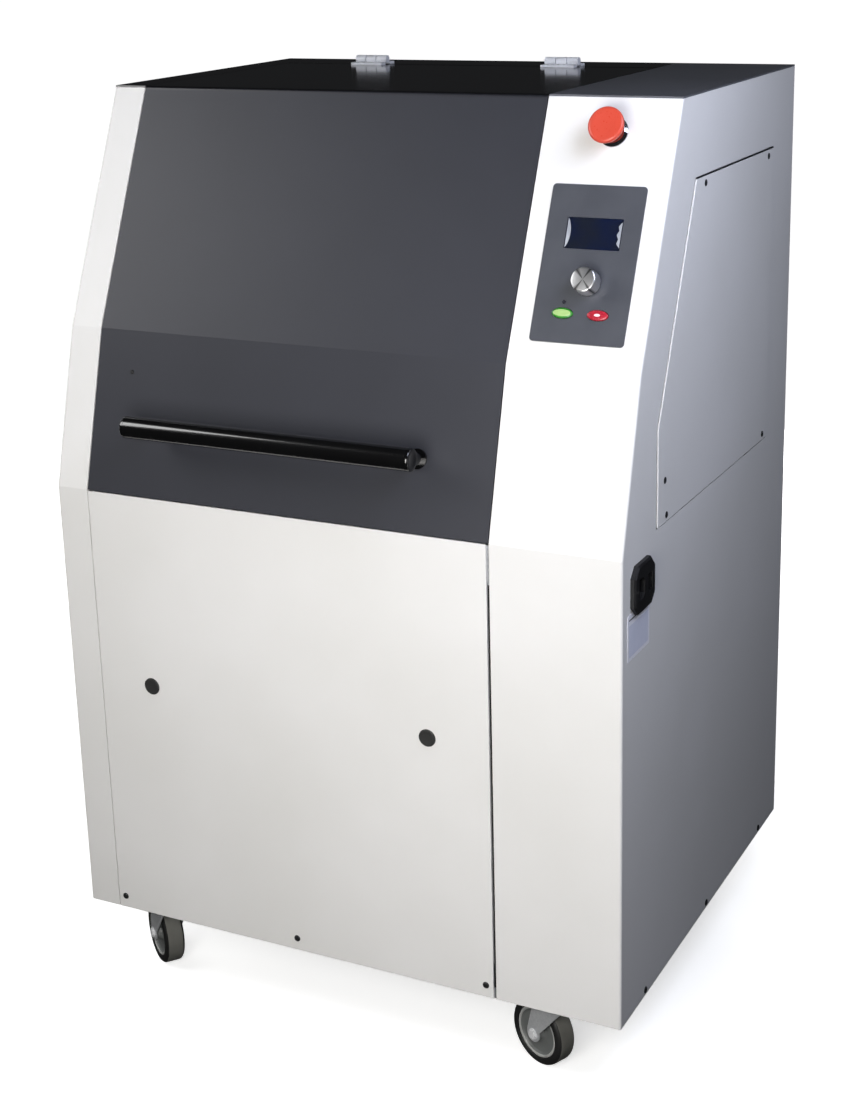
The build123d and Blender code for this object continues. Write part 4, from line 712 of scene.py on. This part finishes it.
def makeDial():
    radius, tall = dial["radius"], dial["tall"]
    place = slopePlace(boxMiddle("encoder_knob") - slopeOut * tall / 2000)
    segments = dial["flutes"] * 4
    profile = [
        (0, 0.3), (radius - 1.2, 0.3), (radius - 0.4, 0.9), (radius, 1.6), (radius, 6.0), (radius - 0.2, 12.0),
        (radius - 0.5, tall - 1.8), (radius - 0.9, tall - 0.7), (radius - 1.6, tall - 0.15), (radius - 2.2, tall),
        (0, tall),
    ]
    vertices, faces = turnedMesh(profile, Matrix.Identity(4), segments)
    fluted = []
    for spot in vertices:
        reach = math.hypot(spot.x, spot.y) * 1000
        if reach > radius - 0.9 and 1.2 < spot.z * 1000 < tall - 1.0:
            wave = math.cos(dial["flutes"] * math.atan2(spot.y, spot.x))
            pull = 1 - dial["fluteDeep"] * (0.5 - 0.5 * wave) / reach
            spot = Vector((spot.x * pull, spot.y * pull, spot.z))
        fluted.append(spot)
    makePiece(
        "dialKnob", fluted, faces, "dial", turnedAluminium, "chrome_metal", ["encoder_knob"], 50, 0.0, place
    )


makeDial()

# Buttons: domed oval caps, each with a lit lens in its middle, mm; the stop button's pale glowing spot is a painted
# glint
button = {"long": 22.6, "short": 11.0, "dome": 1.3, "rings": 7, "steps": 48, "tall": 8.5}
lens = {"long": 20.0, "short": 8.8, "dome": 0.9, "rings": 6, "steps": 40, "tall": 1.6}
stopLens = {"long": 10.0, "short": 4.2, "dome": 0.7, "rings": 5, "steps": 32, "tall": 1.4}


def ovalMesh(shape, place):
    top = shape["tall"] / 2 - 0.1
    levels = [(1.0, -shape["tall"] / 2 + 0.3), (1.0, top - shape["dome"])]
    for ring in range(1, shape["rings"]):
        angle = math.pi / 2 * ring / shape["rings"]
        levels.append((math.cos(angle) ** 0.7, top - shape["dome"] * (1 - math.sin(angle))))
    vertices, faces, steps = [], [], shape["steps"]
    for share, height in levels:
        for step in range(steps):
            angle = 2 * math.pi * step / steps
            across = share * shape["long"] / 2 * math.cos(angle)
            along = share * shape["short"] / 2 * math.sin(angle)
            vertices.append(place @ (Vector((across, along, height)) / 1000))
    vertices.append(place @ Vector((0, 0, top / 1000)))
    for level in range(len(levels) - 1):
        for step in range(steps):
            first, second = level * steps + step, level * steps + (step + 1) % steps
            faces.append([first, second, second + steps, first + steps])
    last = (len(levels) - 1) * steps
    for step in range(steps):
        faces.append([last + step, last + (step + 1) % steps, len(vertices) - 1])
    faces.append(list(range(steps - 1, -1, -1)))
    return vertices, faces


def makeButton(node, body, slot, names, looks, lensShape):
    place = slopePlace(boxMiddle(node))
    makePiece(names[0], *ovalMesh(button, place), body, looks[0], slot, [node], 40)
    lift = (button["tall"] / 2 - lensShape["tall"] / 2 + 0.1) / 1000
    makePiece(names[1], *ovalMesh(lensShape, place @ Matrix.Translation((0, 0, lift))), body, looks[1], slot, (), 40)


makeButton("start_button", "start", "green_plastic", ("startCap", "startLens"), (greenCap, greenGlow), lens)
makeButton("stop_button", "stop", "red_plastic", ("stopCap", "stopLens"), (redCap, redGlow), stopLens)

# Display: pale crescents at the window's ends, the display's metal bezel with a painted reflection of the glare on it,
# mm from the dial's axis on the slope
display = {
    "middle": (-3.5, 51.5), "wide": 60.4, "tall": 32.4, "bulge": 4.4, "inset": 0.5, "level": 0.86, "thick": 0.1,
    "rightShare": 0.86,
}
panelFrame = slopePlace(joints["dial_turn"]["pos_m"])


def makeDisplay():
    across, along = display["middle"]
    half, reach = display["tall"] / 2 - display["inset"], display["wide"] / 2 - display["inset"]
    crescent, ragged = [], []
    for step in range(13):
        share = -1 + step / 6
        crescent.append((across - reach + display["bulge"] * (1 - share * share) ** 0.8, along + half * share))
        pull = display["bulge"] * (1 - share ** 4) * (0.75 + 0.25 * math.cos(9 * share))
        ragged.append((across + reach - pull, along + half * share * display["rightShare"]))
    end = half * display["rightShare"]
    crescent += [(across - reach, along + half), (across - reach, along - half)]
    ragged += [(across + reach, along + end), (across + reach, along - end)]
    low, high = display["level"], display["level"] + display["thick"]
    parts = [drawnMesh(outline, low, high, panelFrame) for outline in (crescent, ragged)]
    makePiece("displayEnds", *joined(parts), "cabinet", bezelSilverPaintedGlare, "display_glass", (), 30)


makeDisplay()
print("stage: controls made")

# Screws in mm: black button heads with a socket; those of the rear sheet are flush
screwLook = {"radius": 4.0, "tall": 1.5, "socket": 1.25, "socketDeep": 0.9}
cabinet = {"halfWide": 350.0, "deep": 570.0}  # mm, from the corner frame
accessCover = {"rise": 106.0, "run": 110.9, "proud": 1.4, "edge": 0.7, "sheet": 2.0}


def screwMesh(place, flush):
    radius, tall, socket, deep = (screwLook[key] for key in ("radius", "tall", "socket", "socketDeep"))
    if flush:
        profile = [(radius - 1.2, -1.2), (radius, -0.05), (radius - 0.2, 0), (socket, 0), (socket, -deep), (0, -deep)]
    else:
        profile = [
            (radius, 0.02), (radius * 0.98, 0.35), (radius * 0.86, tall * 0.72), (radius * 0.62, tall * 0.93),
            (socket * 1.25, tall), (socket, tall - 0.1), (socket, tall - deep), (0, tall - deep),
        ]
    return turnedMesh(profile, place, 24)


def makeScrews():
    parts = []
    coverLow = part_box("side_access_panel")[0]
    side, deep = cabinet["halfWide"], cabinet["deep"]
    for low, high in solidBoxes("panel_screws"):
        x, y, z = inCabinet((low + high) / 2)
        lowest, highest = inCabinet(low), inCabinet(high)
        if highest.x > side + 0.5:
            lift = accessCover["proud"] - 0.5 if low.z > coverLow.z else 0.0
            parts.append(screwMesh(placeAlong(at(side + lift, y, z), (1, 0, 0)), False))
        elif lowest.x < -side - 0.5:
            parts.append(screwMesh(placeAlong(at(-side, y, z), (-1, 0, 0)), False))
        elif lowest.y < -0.5:
            parts.append(screwMesh(placeAlong(at(x, 0, z), (0, -1, 0)), False))
        else:
            parts.append(screwMesh(placeAlong(at(x, deep, z), (0, 1, 0)), True))
    makePiece("cabinetScrews", *joined(parts), "cabinet", blackPlastic, "black_plastic", ["panel_screws"], 40)


makeScrews()


# Access cover: laser-cut sheet with a deburred edge, a hair proud of the side
def makeAccessCover():
    low, high = (inCabinet(corner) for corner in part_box("side_access_panel"))
    outline = [
        (low.y + accessCover["run"], high.z), (low.y, low.z + accessCover["rise"]), (low.y, low.z),
        (high.y, low.z), (high.y, high.z),
    ]
    place = sidePlace(0, 0, 0)
    top = accessCover["proud"]
    sheet = drawnMesh(outline, top - accessCover["sheet"], top, place)
    makePiece(
        "accessCover", *sheet, "cabinet", whiteCoat, "white_sheet", ["side_access_panel"], 32.0, accessCover["edge"]
    )


makeAccessCover()

# Black rubber strips where shadow lines fall, one over the access cover, one in the slit beside the front panel, mm;
# their black is painted shadow
lip = {"tall": 1.7, "proud": 1.3, "slit": (199.2, 202.3), "deep": (2.4, 6.0), "low": 0.3}


def makePaintedShadowStrips():
    low, high = (inCabinet(corner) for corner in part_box("side_access_panel"))
    start, end = low.y + accessCover["run"], high.y
    outline = [
        (start, high.z), (end, high.z), (end, high.z + lip["tall"] * 0.7), (end - 1, high.z + lip["tall"]),
        (start + 1, high.z + lip["tall"]), (start, high.z + lip["tall"] * 0.7),
    ]
    parts = [drawnMesh(outline, 0.0, lip["proud"], sidePlace(0, 0, 0))]
    front, rear = lip["deep"]
    left, right = lip["slit"]
    top = inCabinet(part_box("front_panel")[1]).z
    outline = [
        (left, -rear), (right, -rear), (right, -front - 0.6), ((left + right) / 2, -front), (left, -front - 0.6),
    ]
    place = Matrix(((1, 0, 0), (0, -1, 0), (0, 0, 1))).to_4x4()
    place.translation = at(0, 0, 0)
    parts.append(drawnMesh(outline, lip["low"], top - 2, place))
    makePiece("paintedShadowStrips", *joined(parts), "cabinet", bufferRubber, "black_plastic", (), 35)


makePaintedShadowStrips()

# Round plugs pressed into the front panel: a flat polyethylene cap with a soft rim, mm
plug = {"radius": 10.2, "tall": 1.4}


def makePlugs():
    parts = []
    radius, tall = plug["radius"], plug["tall"]
    for low, high in solidBoxes("hole_plugs"):
        x, y, z = inCabinet((low + high) / 2)
        profile = [
            (radius, 0.02), (radius, 0.45), (radius - 0.5, 1.0), (radius - 1.4, tall - 0.05), (radius - 2.6, tall),
            (radius - 3.0, tall - 0.35), (radius - 3.4, tall - 0.4), (0, tall - 0.4),
        ]
        parts.append(turnedMesh(profile, placeAlong(at(x, 0, z), (0, -1, 0)), 64))
    makePiece("panelPlugs", *joined(parts), "cabinet", plugPlastic, "black_plastic", ["hole_plugs"], 40)


makePlugs()

# Handle: drawn tube with a turned cap in each end, mm
handle = {"radius": 12.45, "cap": 4.0, "edge": 1.5, "seam": 0.35}


def makeHandle():
    low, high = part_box("handle_bar")
    middle = (low + high) / 2
    long = (high.x - low.x) * 1000
    radius, cap, edge, seam = handle["radius"], handle["cap"], handle["edge"], handle["seam"]
    start = [
        (0, 0.3), (radius - edge - 4, 0.3), (radius - edge - 3, 0.0), (radius - edge, 0.0),
        (radius - edge * 0.4, edge * 0.25), (radius, edge), (radius, cap - seam), (radius - seam, cap - seam * 0.6),
        (radius - seam, cap + seam * 0.6), (radius, cap + seam),
    ]
    profile = start + [(r, long - h) for r, h in start[::-1]]
    place = placeAlong((low.x, middle.y, middle.z), (1, 0, 0))
    makePiece("handleBar", *turnedMesh(profile, place, 72), "lid", handleCoat, "black_gloss", ["handle_bar"], 40)


makeHandle()

# Small black stud on the left of the lid's lower slope, mm
stud = {"x": -259.6, "along": 140.5, "radius": 2.6, "tall": 0.9, "slope": (50.0, 181.0), "foot": 536.0}


def makeStud():
    run = Vector((0, *stud["slope"])).normalized()
    place = placeAlong(at(stud["x"], run.y * stud["along"], stud["foot"] + run.z * stud["along"]), (0, -run.z, run.y))
    radius, tall = stud["radius"], stud["tall"]
    profile = [(radius, 0), (radius - 0.2, 0.5), (radius - 0.8, tall), (0, tall)]
    makePiece("lidStud", *turnedMesh(profile, place, 32), "lid", blackPlastic, "black_plastic")


makeStud()

# Hinges: zinc die castings with a barrel, a flat leaf and two countersunk screws each, mm from the pin
hinge = {
    "wide": 44.0, "barrel": 5.25, "rise": 6.0, "leaf": 3.0, "far": 18.0, "near": 5.8, "gap": 1.2, "screw": 2.8,
}


def hingeLeaf(x, side, thirds):
    pin = joints["lid_hinge"]["pos_m"]
    half, leaf, rise, barrel = hinge["wide"] / 2, hinge["leaf"], hinge["rise"], hinge["barrel"]
    place = Matrix(((0, 0, 1), (side, 0, 0), (0, 1, 0))).to_4x4()
    place.translation = Vector((x, pin[1], pin[2] - rise / 1000))
    near, far = hinge["near"], hinge["far"]
    flat = [(near, 0.02), (far, 0.02), (far, leaf - 0.6), (far - 0.6, leaf), (near, leaf)]
    parts = [drawnMesh(flat, -half, half, place)]
    third = hinge["wide"] / 3
    for index in thirds:
        start = -half + index * third + (hinge["gap"] / 2 if index else 0)
        end = -half + (index + 1) * third - (hinge["gap"] / 2 if index < 2 else 0)
        knuckle = [(near + 1.0, 1.0), (near + 1.0, leaf)]
        for step in range(25):
            angle = math.radians(-34 + 270 * step / 24)
            knuckle.append((barrel * math.cos(angle), rise + barrel * math.sin(angle)))
        parts.append(drawnMesh(knuckle, start, end, place))
    for across in (-half * 0.55, half * 0.55):
        spot = Matrix.Translation(place @ (Vector(((near + far) / 2 + 1, leaf, across)) / 1000))
        radius = hinge["screw"]
        parts.append(turnedMesh([(radius, 0.0), (radius - 0.2, 0.25), (1.6, 0.3), (1.4, -0.4), (0, -0.4)], spot, 24))
    return joined(parts)


def makeHinges():
    low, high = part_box("hinge_bases")
    middles = [low.x + hinge["wide"] / 2000, high.x - hinge["wide"] / 2000]
    bases = joined([hingeLeaf(x, 1, (0, 2)) for x in middles])
    leaves = joined([hingeLeaf(x, -1, (1,)) for x in middles])
    makePiece("hingeBases", *bases, "cabinet", chromeSheenWhite, "chrome_metal", ["hinge_bases"], 35, 0.3)
    makePiece("hingeLeaves", *leaves, "lid", chromeSheenWhite, "chrome_metal", ["hinge_leaves"], 35, 0.3)


makeHinges()

# Mains unit trim and the blank plate under it, in mm along y and z on the right side
mains = {"inlet": (17.6, 25.2, 5.0), "offset": -10.5, "rim": 1.4, "rockerRim": 1.5, "rockerGap": 0.6, "screw": -24.0}
plate = {"y": (15.0, 79.0), "z": (421.0, 472.0), "radius": 2.0, "border": 4.0, "rule": 1.5, "thick": 0.35}


# A frame between two outlines of the same number of corners
def ringMesh(outer, inner, low, high, place):
    count = len(outer)
    vertices = []
    for outline, level in ((outer, low), (outer, high), (inner, high), (inner, low)):
        vertices += [place @ (Vector((x, y, level)) / 1000) for x, y in outline]
    faces = []
    for row in range(4):
        for index in range(count):
            following = (index + 1) % count
            base, above = row * count, (row + 1) % 4 * count
            faces.append([base + index, base + following, above + following, above + index])
    return vertices, faces


def makeMainsTrim():
    middle = inCabinet(boxMiddle("mains_unit"))
    proud = inCabinet(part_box("mains_unit")[1]).x - cabinet["halfWide"]
    place = sidePlace(middle.y, middle.z, proud - 1.2)
    wide, tall, radius = mains["inlet"]
    rim, offset = mains["rim"], (mains["offset"], 0.0)
    outer = roundedOutline(wide + 2 * rim, tall + 2 * rim, radius, 6, offset)
    inner = roundedOutline(wide, tall, radius - rim, 6, offset)
    trim = [ringMesh(outer, inner, 0, 1.15, place)]
    low, high = (inCabinet(corner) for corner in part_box("power_rocker"))
    offset = ((low.y + high.y) / 2 - middle.y, (low.z + high.z) / 2 - middle.z)
    hole = 2 * mains["rockerGap"]
    edge = hole + 2 * mains["rockerRim"]
    outer = roundedOutline(high.y - low.y + edge, high.z - low.z + edge, 1.6, 3, offset)
    inner = roundedOutline(high.y - low.y + hole, high.z - low.z + hole, 0.5, 3, offset)
    trim.append(ringMesh(outer, inner, 0, 1.15, place))
    makePiece("mainsTrim", *joined(trim), "cabinet", blackGlossPlastic, "black_plastic", (), 35, 0.2)
    head = [(2.2, 0), (2.0, 0.25), (0.9, 0.3), (0.8, -0.1), (0, -0.1)]
    spot = sidePlace(middle.y + mains["screw"], middle.z, proud - 0.25)
    makePiece("mainsScrew", *turnedMesh(head, spot, 24), "cabinet", polishedNickel, "zinc_steel", (), 35)


def makePlate():
    (front, rear), (low, high) = plate["y"], plate["z"]
    wide, tall, border, thick = rear - front, high - low, plate["border"], plate["thick"]
    place = sidePlace((front + rear) / 2, (low + high) / 2, 0)
    ground = thick + 0.01
    sheet = roundedOutline(wide, tall, plate["radius"], 4)
    rule = roundedOutline(wide - 2 * border, plate["rule"], 0.5, 2, (0, tall / 2 - 1.5 * border))
    field = roundedOutline(wide - 2 * border, tall - 4 * border, 1.0, 2, (0, -border))
    for name, outline, start, end, material, slot in (
        ("blankPlate", sheet, 0.02, thick, platePolyester, "fascia_plate"),
        ("plateRule", rule, ground, thick + 0.07, blackPlastic, "black_plastic"),
        ("plateField", field, ground, thick + 0.06, plateTint, "fascia_plate"),
    ):
        makePiece(name, *drawnMesh(outline, start, end, place), "cabinet", material, slot, (), 35)


makeMainsTrim()
makePlate()
print("stage: trim made")
